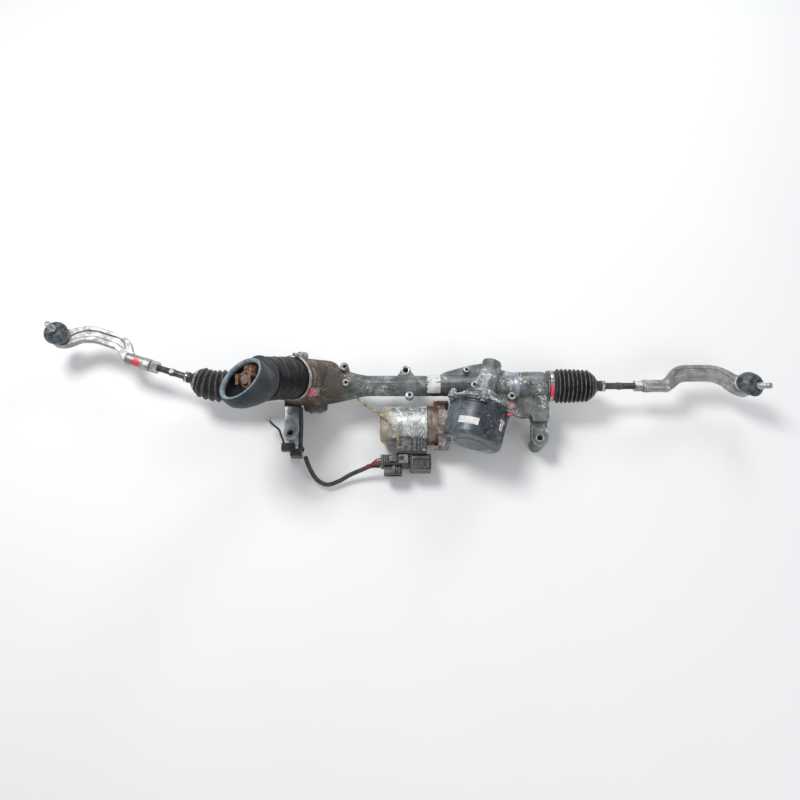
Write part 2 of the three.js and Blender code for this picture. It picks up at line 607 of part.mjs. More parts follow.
function wheelOutline() {
  const outline = [];
  const half = Math.PI * WHEEL_MODULE / 4 - 0.4;
  const slope = Math.tan(THREE.MathUtils.degToRad(25));
  const rows = [[-2.1, half + 2.1 * slope], [1.6, half - 1.6 * slope]];
  const [[low, lowHalf], [high, highHalf]] = rows;
  for (let i = 0; i < WHEEL_TEETH; i += 1) {
    const centre = -Math.PI / 2 + 2 * Math.PI * (i + 0.5) / WHEEL_TEETH;
    for (const [dr, w] of [[low, -lowHalf], [high, -highHalf], [high, highHalf], [low, lowHalf]]) {
      const r = WHEEL_R + dr;
      const a = centre + w / r;
      outline.push([r * Math.cos(a), r * Math.sin(a)]);
    }
  }
  return outline;
}
const wheelWidth = 13;
const wheelSide = V().crossVectors(Z, assistAxis);
node("worm_wheel", cut(
  join(
    plate(wheelOutline(), wheelWidth, onAssist(WHEEL_STATION - wheelWidth / 2), wheelSide, Z),
    rod(onAssist(WHEEL_STATION - 11), onAssist(WHEEL_STATION + 11), 15),
  ),
  rod(onAssist(WHEEL_STATION - 20), onAssist(WHEEL_STATION + 20), 8.3),
  turned([[16, 3], [32, 3], [32, 9], [16, 9]], onAssist(WHEEL_STATION), assistAxis, 16),
), "nylon");

// The worm is a two-lobed section turned steadily along its length.
function wormThread(length) {
  const slope = Math.tan(THREE.MathUtils.degToRad(25));
  const half = WORM_AXIAL_PITCH / 4 - 0.4;
  const perMm = 2 * Math.PI / WORM_LEAD;
  const rows = [[WORM_R - 2, half + 2 * slope], [WORM_R, half], [WORM_R + 1.6, half - 1.6 * slope]];
  const lobe = [...rows.map(([r, w]) => [r, -w]), ...rows.reverse()];
  const outline = [];
  for (let start = 0; start < WORM_STARTS; start += 1) {
    for (const [r, w] of lobe) {
      const a = w * perMm + start * Math.PI;
      outline.push(new THREE.Vector2(r * Math.cos(a), r * Math.sin(a)));
    }
    outline.push(new THREE.Vector2(rows[2][0] * Math.cos((start + 0.5) * Math.PI), rows[2][0] * Math.sin((start + 0.5) * Math.PI)));
  }
  const steps = Math.round(length / WORM_LEAD * 12);
  const geometry = new THREE.ExtrudeGeometry(new THREE.Shape(outline), { depth: length, steps, bevelEnabled: false });
  geometry.translate(0, 0, -length / 2);
  const at = geometry.getAttribute("position");
  for (let i = 0; i < at.count; i += 1) {
    const p = V().fromBufferAttribute(at, i);
    const turn = Math.PI / 2 - p.z * perMm;
    const y = p.x * Math.cos(turn) - p.y * Math.sin(turn);
    const z = p.x * Math.sin(turn) + p.y * Math.cos(turn);
    at.setXYZ(i, wormCentre.x + p.z, wormCentre.y + y, wormCentre.z + z);
  }
  return solid(geometry);
}
const MOTOR_LEFT = -38;
const MOTOR_RIGHT = 51;
const FLANGE_RIGHT = 85;
node("worm_shaft", join(
  wormThread(30),
  rod(onWorm(wormCentre.x - 15.5), onWorm(wormCentre.x - 14), 4.8),
  rod(onWorm(MOTOR_LEFT + 14), onWorm(wormCentre.x - 15), 5.5),
  rod(onWorm(wormCentre.x + 14), onWorm(wormCentre.x + 34), 4.8),
), "steel");
node("motor_rotor", sleeve(onWorm(MOTOR_LEFT + 22), onWorm(MOTOR_RIGHT - 8), 17.5, 5.8), "dark_steel");
node("motor_stator", sleeve(onWorm(MOTOR_LEFT + 16), onWorm(MOTOR_RIGHT - 3), 32.4, 18.5), "copper");
node("motor_can", turned([
  [0, MOTOR_LEFT], [26, MOTOR_LEFT], [33, MOTOR_LEFT + 3], [36, MOTOR_LEFT + 9], [36, MOTOR_RIGHT],
  [32.8, MOTOR_RIGHT], [32.8, MOTOR_LEFT + 12], [0, MOTOR_LEFT + 12],
], onWorm(0), X), "motor");
const flangeShape = [[0, 49], [16, 45], [31, 26], [36, 14], [36, -14], [31, -26], [16, -45], [0, -49]];
const flangeOutline = [...flangeShape, ...flangeShape.slice(1, -1).reverse().map(([a, b]) => [-a, b])];
node("motor_flange", cut(
  join(
    plate(flangeOutline, 14, onWorm(FLANGE_RIGHT - 14), Z, V(0, -1, 0)),
    rod(onWorm(MOTOR_RIGHT + GAP), onWorm(FLANGE_RIGHT - 13), 38),
  ),
  rod(onWorm(MOTOR_RIGHT), onWorm(FLANGE_RIGHT - 12), 33),
  rod(onWorm(60), onWorm(90), 9),
), "dark_casting");

// ---------------------------------------------------------------- assist gear case
const BOLT_TURN = Math.PI - 0.45;
const boltSide = V().crossVectors(assistAxis, Z);
const boltOffset = Z.clone().multiplyScalar(Math.sin(BOLT_TURN)).addScaledVector(boltSide, Math.cos(BOLT_TURN));
const boltLine = (s) => onAssist(s).addScaledVector(boltOffset, 60.5);
const boltHole = rod(boltLine(40), boltLine(70), 4.7);
const caseBore = turned([
  [0, FLANGE_STATION - 4], [44, FLANGE_STATION - 4], [44, 90], [0, 90],
], assistRoot, assistAxis);
const wormTube = rod(onWorm(FLANGE_RIGHT + GAP), onWorm(wormCentre.x + 44), 17.5);
const wormBore = rod(onWorm(FLANGE_RIGHT - 2), onWorm(wormCentre.x + 38), 11.5);
node("gear_housing", cut(
  join(
    turned([
      [0, TOWER_FACE + GAP], [30, TOWER_FACE + GAP], [31, 35], [46, 41.5], [53.5, 45], [57, FLANGE_STATION], [57, 52], [0, 52],
    ], assistRoot, assistAxis),
    wormTube,
    plate(flangeOutline, 7, onWorm(FLANGE_RIGHT + GAP), Z, V(0, -1, 0)),
    rod(onWorm(FLANGE_RIGHT + 5), onWorm(FLANGE_RIGHT + 24), 32, 18),
    block([108, 176], [wormCentre.y - 10, wormCentre.y + 34], [wormCentre.z - 10, wormCentre.z + 12]),
    rod(boltLine(FLANGE_STATION), boltLine(52), 9),
  ),
  boltHole,
  rod(onAssist(20), onAssist(60), 14.5),
  caseBore,
  wormBore,
), "casting");
const coverShape = turned([
  [0, 52.3], [57, 52.3], [57, 57], [GEAR_CASE_R, 59], [GEAR_CASE_R, 112], [50, 121], [34, 125], [0, 125],
], assistRoot, assistAxis);
const coverHollow = turned([
  [0, 50], [51, 50], [51, 112], [22, 112], [22, 92], [17.5, 92], [17.5, 116], [0, 116],
], assistRoot, assistAxis);
node("gear_cover", cut(
  join(coverShape, rod(boltLine(52.3), boltLine(57), 9)),
  coverHollow,
  boltHole,
  rod(onWorm(60), onWorm(wormCentre.x + 80), 18.2),
  rod(onWorm(FLANGE_RIGHT + 5), onWorm(FLANGE_RIGHT + 24), 32.7, 18.7),
  block([60, FLANGE_RIGHT + 8], [-140, 0], [-90, 20]),
  block([40, 230], [-140, -30], [-90, wormCentre.z + 12.5]),
), "black_paint");
node("cover_bolt", join(
  rod(boltLine(44), boltLine(58), 4.2),
  hexNut(boltLine(42.4), assistAxis, 10, 5.4, 0),
), "steel");

// ---------------------------------------------------------------- control unit and wiring
const unitBottom = wormCentre.z - 22;
node("control_unit", cut(
  join(
    block([-8, 50], [-130, wormCentre.y - 14], [unitBottom, -8]),
    block([18, 58], [-158, -128], [unitBottom, -18]),
  ),
  rod(onWorm(MOTOR_LEFT - 2), onWorm(MOTOR_RIGHT + 0.5), 36 + GAP),
  rod(onWorm(MOTOR_RIGHT), onWorm(FLANGE_RIGHT), 38 + GAP),
), "black_plastic");
node("harness_connector", join(
  block([-36, 17.5], [-150, -130.5], [unitBottom + 2, -14]),
  block([-30, 4], [-166, -149], [unitBottom + 8, -22]),
  block([-20, -6], [-145, -134], [-15, -9]),
), "black_plastic");

const CONDUIT_R = 4.4;
const clipCentre = V(-199, -118, -34);
node("harness_conduit", tube([
  [-37, -147, -34], [-54, -147, -36], [-70, -152, -42], [-93, -160, -50], [-117, -172, -56],
  [-138, -178, -56], [-156, -170, -52], [-170, -150, -44], [-179, -128, -36],
], CONDUIT_R, 8, 27), "rubber");
node("harness_clip", join(
  block([clipCentre.x - 7, clipCentre.x + 14.5], [clipCentre.y - 13, clipCentre.y + 2], [-44, -24]),
  block([clipCentre.x - 25, clipCentre.x + 1], [clipCentre.y - 1, clipCentre.y + 14], [-41, -27]),
), "black_plastic");
node("sensor_conduit", tube([
  [-188, -115.4, -33], [-188, -108, -33], [-188, -95, -29], [-187, -78, -22], [-187, -58, -12], [-187, -42, -4],
], CONDUIT_R, 8, 16), "rubber");
node("sensor_lead", tube([
  [-80, -26, 2], [-62, -42, 4], [-40, -58, 11], [-22, -76, 14], [-8, -97, 12], [-3, -110, 5], [-3, -111, -1], [-3, -111, -7.4],
], 2.6, 8, 24), "cream");
node("branch_lead", tube([
  [-220, -103.4, -34], [-222, -97, -34], [-226, -88, -32], [-230, -78, -30], [-244, -66, -28], [-252, -56, -26],
], 2.2, 8, 16), "rubber");

// ---------------------------------------------------------------- stand the whole on the origin
const CORDS = ["harness_conduit", "sensor_conduit", "sensor_lead", "branch_lead"];
const box = new THREE.Box3();
for (const part of object.children) {
  if (!CORDS.includes(part.name)) box.expandByObject(part, true);
}
const tenth = (value) => Math.round(value * 10) / 10;
const shift = V(tenth(-(box.min.x + box.max.x) / 2), tenth(-(box.min.y + box.max.y) / 2), -FLOOR);
for (const part of object.children) part.geometry.translate(shift.x, shift.y, shift.z);

export default object;
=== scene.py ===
# Dual-pinion electric power steering gear, as it looks: worn castings, rubber, wiring and forgings
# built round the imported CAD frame. Shapes are worked out in millimetres from a point on the rack
# axis, with +X along the rack, and become metres in the frame when a piece is made.
import json
import random
from math import cos, pi, radians, sin, sqrt

import bmesh
import bpy
from mathutils import Matrix, Vector, noise


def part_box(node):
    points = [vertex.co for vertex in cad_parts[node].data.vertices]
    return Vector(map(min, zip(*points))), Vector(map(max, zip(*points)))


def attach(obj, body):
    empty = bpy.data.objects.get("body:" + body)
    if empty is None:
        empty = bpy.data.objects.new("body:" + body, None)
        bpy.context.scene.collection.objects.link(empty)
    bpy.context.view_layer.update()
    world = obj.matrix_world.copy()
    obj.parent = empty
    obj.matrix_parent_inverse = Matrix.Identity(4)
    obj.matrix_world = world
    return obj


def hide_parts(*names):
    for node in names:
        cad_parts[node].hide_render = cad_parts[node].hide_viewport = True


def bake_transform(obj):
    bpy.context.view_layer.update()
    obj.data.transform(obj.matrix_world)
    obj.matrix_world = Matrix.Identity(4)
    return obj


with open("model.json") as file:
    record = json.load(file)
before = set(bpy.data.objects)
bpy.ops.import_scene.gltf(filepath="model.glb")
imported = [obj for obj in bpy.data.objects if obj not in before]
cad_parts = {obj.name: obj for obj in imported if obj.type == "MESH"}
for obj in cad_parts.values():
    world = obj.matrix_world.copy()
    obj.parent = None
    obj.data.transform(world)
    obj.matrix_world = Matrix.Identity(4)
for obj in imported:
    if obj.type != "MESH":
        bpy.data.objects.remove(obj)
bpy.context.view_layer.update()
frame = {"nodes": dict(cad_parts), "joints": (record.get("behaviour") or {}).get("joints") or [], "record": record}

MM = 0.001
X, Y, Z = Vector((1, 0, 0)), Vector((0, 1, 0)), Vector((0, 0, 1))
JOINTS = {joint["name"]: joint for joint in frame["joints"]}
SLOTS = {row["node"]: row["material_slot"] for row in frame["record"]["subparts"]}

# ---- places, from the frame
BALL_LEFT_X = -350
RACK = Vector(JOINTS["inner_swing_left"]["pos_m"]) / MM - X * BALL_LEFT_X


def pivot(joint):
    return Vector(JOINTS[joint]["pos_m"]) / MM - RACK


def direction(joint):
    return Vector(JOINTS[joint]["axis"]).normalized()


def metres(point):
    return (Vector(point) + RACK) * MM


def box(node):
    low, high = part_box(node)
    return low / MM - RACK, high / MM - RACK


BALL = {"left": pivot("inner_swing_left"), "right": pivot("inner_swing_right")}
STUD = {"left": pivot("outer_turn_left"), "right": pivot("outer_turn_right")}
STUD_AXIS = {side: direction(f"outer_turn_{side}") for side in BALL}
ROD = {side: (STUD[side] - BALL[side]).normalized() for side in BALL}
OUTBOARD = {"left": -X, "right": X}
INPUT, INPUT_AXIS = pivot("input_turn"), direction("input_turn")
ASSIST, ASSIST_AXIS = pivot("assist_turn"), direction("assist_turn")
MOTOR = pivot("motor_spin")
FLOOR = -RACK.z


def on_input(s):
    return INPUT + INPUT_AXIS * s


def on_assist(s):
    return ASSIST + ASSIST_AXIS * s


def on_motor(x):
    return Vector((x, MOTOR.y, MOTOR.z))


def placed(name, data):
    thing = bpy.data.objects.new(name, data)
    bpy.context.scene.collection.objects.link(thing)
    return thing


# ---- the camera
ELEVATION = radians(70)
DISTANCE = 1350
SENSOR_WIDTH = 36
FOCAL_SHARE = 0.888
AIM_OFFSET = -26.6
CLIP_NEAR, CLIP_FAR = 0.01, 20


def make_camera():
    back = Vector((0, -cos(ELEVATION), sin(ELEVATION)))
    up = X.cross(back) * -1
    data = bpy.data.cameras.new("camera")
    data.sensor_width = SENSOR_WIDTH
    data.lens = data.sensor_width * FOCAL_SHARE
    data.clip_start = CLIP_NEAR
    data.clip_end = CLIP_FAR
    camera = placed("camera", data)
    place = metres(back * DISTANCE + up * AIM_OFFSET)
    camera.matrix_world = Matrix.Translation(place) @ back.to_track_quat("Z", "Y").to_matrix().to_4x4()
    bpy.context.scene.camera = camera


make_camera()


# ---- shapes: (points, faces) in millimetres
def across(axis):
    """Two directions at right angles to the axis and to each other."""
    hint = Z if abs(axis.z) < 0.9 else X
    side = hint.cross(axis).normalized()
    return side, side.cross(axis)


def turned(profile, origin, axis, sides=64, wobble=None):
    """A lathed body: profile of (radius, station) from axis to axis, or closed on itself."""
    side, other = across(axis)
    points, rings, faces = [], [], []
    for r, s in profile:
        centre = origin + axis * s
        if r < 1e-6:
            rings.append([len(points)])
            points.append(centre)
            continue
        rings.append(range(len(points), len(points) + sides))
        for i in range(sides):
            a = 2 * pi * i / sides
            reach = r + (wobble(a, s, r) if wobble else 0)
            points.append(centre + (side * cos(a) + other * sin(a)) * reach)
    if profile[0][0] > 0:
        rings.append(rings[0])
    for near, far in zip(rings, rings[1:]):
        for i in range(sides):
            j = (i + 1) % sides
            if len(near) == 1:
                faces.append((near[0], far[i], far[j]))
            elif len(far) == 1:
                faces.append((near[i], far[0], near[j]))
            else:
                faces.append((near[i], far[i], far[j], near[j]))
    return points, faces


def filleted(profile, size, steps=3):
    """The profile with its corners rounded; points on the axis stay."""
    out = []
    count = len(profile)
    loop = profile[0][0] > 0
    for i, (r, s) in enumerate(profile):
        here = Vector((r, s))
        if not loop and i in (0, count - 1):
            out.append((r, s))
            continue
        back, ahead = Vector(profile[i - 1]) - here, Vector(profile[(i + 1) % count]) - here
        reach = min(size, back.length * 0.45, ahead.length * 0.45)
        if reach < 0.05 or back.angle(ahead) > radians(172):
            out.append((r, s))
            continue
        start, end = here + back.normalized() * reach, here + ahead.normalized() * reach
        for k in range(steps + 1):
            t = k / steps
            p = start * (1 - t) ** 2 + here * 2 * t * (1 - t) + end * t * t
            out.append((max(0, p.x), p.y))
    return out


def between(start, end, near, far, edge, sides):
    """A lathed body from start to end, with the radii near at one end and far at the other."""
    axis = end - start
    profile = [(r, 0) for r in near] + [(r, axis.length) for r in far]
    return turned(filleted(profile, edge, 2), start, axis.normalized(), sides)


def rod(start, end, r, r_end=None, sides=48, edge=0.6):
    return between(start, end, (0, r), (r_end or r, 0), edge, sides)


def ring(start, end, outer, inner, sides=64, edge=0.5):
    return between(start, end, (inner, outer), (outer, inner), edge, sides)


def prism(outline, depth, origin, side, up):
    """An outline in the plane of side and up, thickened along their cross product."""
    side = side.normalized()
    out = side.cross(up).normalized()
    up = out.cross(side)
    count = len(outline)
    points = [origin + side * a + up * b + out * d for d in (0, depth) for a, b in outline]
    faces = [tuple(range(count))[::-1], tuple(range(count, 2 * count))]
    faces += [(i, (i + 1) % count, count + (i + 1) % count, count + i) for i in range(count)]
    return points, faces


def slab(outline, low, high):
    return prism(outline, high - low, Z * low, X, Y)


def brick(xs, ys, zs):
    (x0, x1), (y0, y1), (z0, z1) = xs, ys, zs
    return slab([(x0, y0), (x1, y0), (x1, y1), (x0, y1)], z0, z1)


def curved(outline, size, steps=5):
    """A closed outline with its corners rounded."""
    out = []
    for i, point in enumerate(outline):
        here = Vector(point)
        back, ahead = Vector(outline[i - 1]) - here, Vector(outline[(i + 1) % len(outline)]) - here
        reach = min(size, back.length * 0.48, ahead.length * 0.48)
        start, end = here + back.normalized() * reach, here + ahead.normalized() * reach
        for k in range(steps + 1):
            t = k / steps
            out.append(tuple(start * (1 - t) ** 2 + here * 2 * t * (1 - t) + end * t * t))
    return out


def hexagon(centre, axis, flats, length, turn=0.0):
    """A hexagon head or nut with its corners chamfered by a cone."""
    side, other = across(axis)
    r = flats / sqrt(3)
    outline = [(r * cos(turn + pi * i / 3), r * sin(turn + pi * i / 3)) for i in range(6)]
    body = prism(outline, length, centre - side.cross(other) * length / 2, side, other)
    cone = turned([
        (0, -length / 2), (r * 0.9, -length / 2), (r * 1.02, -length / 2 + 1.1),
        (r * 1.02, length / 2 - 1.1), (r * 0.9, length / 2), (0, length / 2),
    ], centre, axis, 48)
    return solid_of(body, [cone], "INTERSECT")


def route(points, count):
    """Points evenly spread in parameter along a centripetal Catmull-Rom curve through the points."""
    knots = [Vector(p) for p in points]
    spans = len(knots) - 1
    line = []
    for n in range(count + 1):
        place = spans * n / count
        i = min(int(place), spans - 1)
        t = place - i
        p1, p2 = knots[i], knots[i + 1]
        p0 = knots[i - 1] if i > 0 else p1 * 2 - p2
        p3 = knots[i + 2] if i + 2 < len(knots) else p2 * 2 - p1
        d0, d1, d2 = (max(1e-4, (b - a).length) ** 0.5 for a, b in ((p0, p1), (p1, p2), (p2, p3)))
        m1 = ((p1 - p0) / d0 - (p2 - p0) / (d0 + d1) + (p2 - p1) / d1) * d1
        m2 = ((p2 - p1) / d1 - (p3 - p1) / (d1 + d2) + (p3 - p2) / d2) * d1
        line.append(
            p1 * (2 * t ** 3 - 3 * t ** 2 + 1) + m1 * (t ** 3 - 2 * t ** 2 + t)
            + p2 * (3 * t ** 2 - 2 * t ** 3) + m2 * (t ** 3 - t ** 2)
        )
    return line


def tube(line, radius, sides=16):
    """A closed tube along a line; radius is a number or a function of the way along in millimetres."""
    points, faces, way = [], [], 0.0
    normal = None
    for i, p in enumerate(line):
        ahead = (line[min(i + 1, len(line) - 1)] - line[max(i - 1, 0)]).normalized()
        if normal is None:
            normal = across(ahead)[0]
        normal = (normal - ahead * normal.dot(ahead)).normalized()
        other = ahead.cross(normal)
        way += (p - line[i - 1]).length if i else 0
        r = radius(way) if callable(radius) else radius
        for k in range(sides):
            a = 2 * pi * k / sides
            points.append(p + (normal * cos(a) + other * sin(a)) * r)
    for i in range(len(line) - 1):
        for k in range(sides):
            j = (k + 1) % sides
            faces.append((i * sides + k, i * sides + j, (i + 1) * sides + j, (i + 1) * sides + k))
    last = (len(line) - 1) * sides
    faces.append(tuple(range(sides))[::-1])
    faces.append(tuple(range(last, last + sides)))
    return points, faces


def along_line(points, step):
    """A route with a point about every step millimetres."""
    rough = route(points, 200)
    length = sum((b - a).length for a, b in zip(rough, rough[1:]))
    return route(points, max(8, round(length / step))), length


# ---- mesh work
def as_mesh(part, name="work"):
    points, faces = part
    mesh = bpy.data.meshes.new(name)
    mesh.from_pydata([tuple(p) for p in points], [], [tuple(f) for f in faces])
    mesh.validate()
    work = bmesh.new()
    work.from_mesh(mesh)
    bmesh.ops.recalc_face_normals(work, faces=work.faces)
    work.to_mesh(mesh)
    work.free()
    return mesh


def as_object(part):
    return placed("work", as_mesh(part))


def part_of(mesh):
    """The (points, faces) of a mesh, which is thrown away."""
    part = [v.co.copy() for v in mesh.vertices], [tuple(f.vertices) for f in mesh.polygons]
    bpy.data.meshes.remove(mesh)
    return part


def applied(thing):
    """The (points, faces) of an object with its modifiers; the object is thrown away."""
    graph = bpy.context.evaluated_depsgraph_get()
    part = part_of(bpy.data.meshes.new_from_object(thing.evaluated_get(graph)))
    bpy.data.objects.remove(thing)
    return part


def solid_of(part, others, operation):
    body = as_object(part)
    helpers = [as_object(other) for other in others]
    for helper in helpers:
        step = body.modifiers.new("step", "BOOLEAN")
        step.operation = operation
        step.solver = "MANIFOLD"
        step.object = helper
    result = applied(body)
    for helper in helpers:
        bpy.data.objects.remove(helper)
    return result


def joined(first, *others):
    return solid_of(first, others, "UNION")


def cut(first, *others):
    return solid_of(first, others, "DIFFERENCE")


def eased(part, width, segments=2, angle=32):
    """The part with its sharp edges bevelled."""
    mesh = as_mesh(part)
    work = bmesh.new()
    work.from_mesh(mesh)
    bmesh.ops.dissolve_limit(
        work, angle_limit=radians(1), verts=work.verts, edges=work.edges)
    sharp = [e for e in work.edges if len(e.link_faces) == 2 and e.calc_face_angle() > radians(angle)]
    bmesh.ops.bevel(
        work, geom=sharp, offset=width, offset_type="OFFSET", segments=segments,
        profile=0.6, affect="EDGES", clamp_overlap=True)
    work.to_mesh(mesh)
    work.free()
    return part_of(mesh)


def cast(part, voxel, smooth=6):
    """The part as poured metal: every edge and inner corner rounded by a fine remesh."""
    thing = as_object(part)
    remesh = thing.modifiers.new("cast", "REMESH")
    remesh.mode = "VOXEL"
    remesh.voxel_size = voxel
    soften = thing.modifiers.new("soften", "SMOOTH")
    soften.factor = 0.5
    soften.iterations = smooth
    return applied(thing)


def moved(part, change):
    points, faces = part
    return [change(Vector(p)) for p in points], faces


def rippled(part, size, depth):
    """Pushes the points in and out by slow noise, for sand-cast or hand-worn faces."""
    mesh = as_mesh(part)
    points = [v.co + v.normal * noise.noise(v.co / size) * depth for v in mesh.vertices]
    return points, part_of(mesh)[1]


def piece(name, part, look, body="housing", replaces=(), crease=38):
    """One object in the frame from a part, with its look, its body (None leaves it on no body) and the CAD
    nodes that it stands for."""
    points, faces = part
    mesh = as_mesh(([metres(p) for p in points], faces), name)
    work = bmesh.new()
    work.from_mesh(mesh)
    for face in work.faces:
        face.smooth = True
    for edge in work.edges:
        if len(edge.link_faces) == 2 and edge.calc_face_angle() > radians(crease):
            edge.smooth = False
    work.to_mesh(mesh)
    work.free()
    thing = placed(name, mesh)
    mesh.materials.append(LOOK[look])
    if body:
        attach(thing, body)
    if replaces:
        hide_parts(*replaces)
    return thing


# ---- finishes
class Finish:
    """One material. Each method adds a node and gives the socket that it feeds from."""

    def __init__(self, name):
        self.material = bpy.data.materials.new(name)
        self.material.use_nodes = True
        self.nodes = self.material.node_tree.nodes
        self.links = self.material.node_tree.links
        self.nodes.clear()
        self.place = self.add("ShaderNodeTexCoord").outputs["Object"]
        self.along = self.add("ShaderNodeNewGeometry")

    def add(self, kind, inputs=None, **settings):
        node = self.nodes.new(kind)
        for key, value in settings.items():
            setattr(node, key, value)
        for key, value in (inputs or {}).items():
            self.feed(node.inputs[key], value)
        return node

    def feed(self, socket, value):
        if isinstance(value, bpy.types.NodeSocket):
            self.links.new(value, socket)
        elif isinstance(value, tuple) and len(value) == 3 and socket.type == "RGBA":
            socket.default_value = (*value, 1)
        else:
            socket.default_value = value

    def math(self, operation, a, b=0.0):
        return self.add("ShaderNodeMath", {0: a, 1: b}, operation=operation).outputs[0]

    def times(self, a, b):
        return self.math("MULTIPLY", a, b)

    def most(self, a, b):
        return self.math("MAXIMUM", a, b)

    def plus(self, a, b):
        return self.math("ADD", a, b)

    def noise(self, size, detail=4.0, rough=0.55, stretch=(1, 1, 1), warp=0.0):
        """Noise with blobs about size millimetres across."""
        scaled = self.add("ShaderNodeMapping", {
            "Vector": self.place,
            "Scale": tuple(axis / (size * MM) for axis in stretch),
        })
        return self.add("ShaderNodeTexNoise", {
            "Vector": scaled.outputs[0], "Scale": 1.0, "Detail": detail, "Roughness": rough,
            "Distortion": warp,
        }).outputs["Fac"]

    def step(self, value, low, high):
        """0 below low, 1 above high, smooth between; low may be the greater."""
        return self.add("ShaderNodeMapRange", {
            "Value": value, "From Min": low, "From Max": high,
        }, interpolation_type="SMOOTHSTEP").outputs["Result"]

    def spread(self, value, low, high, out_low, out_high):
        return self.add("ShaderNodeMapRange", {
            "Value": value, "From Min": low, "From Max": high, "To Min": out_low, "To Max": out_high,
        }).outputs["Result"]

    def mix(self, share, a, b):
        node = self.add("ShaderNodeMix", data_type="RGBA")
        for key, value in ((0, share), (6, a), (7, b)):
            self.feed(node.inputs[key], value)
        return node.outputs[2]

    def near(self, point, radius, blur):
        """1 within radius millimetres of a point, with a ragged edge."""
        distance = self.add("ShaderNodeVectorMath", {0: self.place, 1: metres(point)}, operation="DISTANCE")
        uneven = self.math("MULTIPLY_ADD", self.noise(6.0), 0.8 * radius * MM)
        uneven.node.inputs[2].default_value = -0.4 * radius * MM
        away = self.plus(distance.outputs["Value"], uneven)
        return self.step(away, (radius + blur) * MM, (radius - blur) * MM)

    def height(self, axis, low, high):
        """0 to 1 between two places on an axis, in millimetres from the rack axis, made uneven."""
        part = self.add("ShaderNodeSeparateXYZ", {0: self.place}).outputs[axis]
        uneven = self.math("MULTIPLY_ADD", self.noise(28), 0.4 * abs(high - low) * MM)
        uneven.node.inputs[2].default_value = -0.2 * abs(high - low) * MM
        shift = RACK[axis]
        return self.step(self.plus(part, uneven), (low + shift) * MM, (high + shift) * MM)

    def edges(self, low=0.52, high=0.6):
        return self.step(self.along.outputs["Pointiness"], low, high)

    def hollows(self, low=0.48, high=0.42):
        return self.step(self.along.outputs["Pointiness"], low, high)

    def upward(self, low=0.2, high=0.9):
        """1 on faces that look up, where dust settles."""
        facing = self.add("ShaderNodeSeparateXYZ", {0: self.along.outputs["Normal"]}).outputs[2]
        return self.step(facing, low, high)

    def bump(self, height, depth, under=None):
        """A bump of depth millimetres for height from 0 to 1."""
        node = self.add("ShaderNodeBump", {"Height": height, "Strength": 1.0, "Distance": depth * MM})
        if under:
            self.feed(node.inputs["Normal"], under)
        return node.outputs[0]

    def shade(self, colour, rough, metal=0.0, normal=None, **fixed):
        names = {
            "coat": "Coat Weight", "coat_rough": "Coat Roughness", "sheen": "Sheen Weight",
            "specular": "Specular IOR Level",
        }
        shader = self.add("ShaderNodeBsdfPrincipled", {
            "Base Color": colour, "Roughness": rough, "Metallic": metal,
        })
        if normal:
            self.feed(shader.inputs["Normal"], normal)
        for key, value in fixed.items():
            shader.inputs[names[key]].default_value = value
        self.add("ShaderNodeOutputMaterial", {"Surface": shader.outputs[0]})
        return self.material


PAINT_MARK = (0.80, 0.10, 0.14)
CHALK = (0.80, 0.82, 0.82)


def surface(name, dark, light, rough, metal, grain=(0.9, 0.05), blotch=26, dirt=None, edge=None,
        spots=None, marks=(), **fixed):
    """The usual worn face: two tones in blotches, fine grain, dirt in hollows and dust, a pale edge colour,
    pale or rusty spots, and paint marks (point, radius). The edge colour is bare metal on metals, a painted
    highlight on the bellows and stud-boot rubber, and partly a painted highlight on the black plastic."""
    f = Finish(name)
    colour = f.mix(f.step(f.noise(blotch, 6, 0.62, warp=0.4), 0.36, 0.66), dark, light)
    fine = f.noise(grain[0], 3, 0.7)
    colour = f.mix(f.spread(fine, 0.3, 0.7, 0.0, 0.16), colour, tuple(c * 0.45 for c in dark))
    roughness = f.spread(f.noise(blotch * 0.5, 5, 0.6), 0.3, 0.7, rough - 0.09, rough + 0.12)
    metallic = metal
    if edge:
        # pale colour on sharp edges: worn bare metal on metals, a painted highlight on the rubbers, partly one on
        # the black plastic
        share = f.times(f.edges(), f.step(f.noise(5, 4), 0.35, 0.6))
        colour = f.mix(f.times(share, edge[1]), colour, edge[0])
    if dirt:
        tone, amount, size = dirt
        patch = f.step(f.noise(size, 7, 0.68, warp=0.8), 0.46, 0.64)
        share = f.most(f.times(patch, amount), f.times(f.hollows(), 0.75))
        colour = f.mix(share, colour, tone)
        roughness = f.most(roughness, f.times(share, 0.85))
        if metal:
            metallic = f.spread(share, 0.0, 1.0, metal, metal * 0.25)
    if spots:
        tone, size, level = spots
        speck = f.step(f.plus(f.noise(size, 5, 0.75, warp=1.2), f.times(f.noise(blotch * 1.6, 3), 0.5)),
                level, level + 0.03)
        colour = f.mix(speck, colour, tone)
        roughness = f.most(roughness, f.times(speck, 0.8))
    for point, radius in marks:
        paint = f.near(point, radius, radius * 0.18)
        colour = f.mix(paint, colour, PAINT_MARK)
        roughness = f.most(roughness, f.times(paint, 0.5))
    normal = f.bump(fine, grain[1])
    normal = f.bump(f.noise(grain[0] * 6, 4, 0.6), grain[1] * 1.6, normal)
    return f.shade(colour, roughness, metallic, normal, **fixed)


ROAD_DIRT, WET_DIRT = (0.085, 0.055, 0.038), (0.022, 0.017, 0.014)


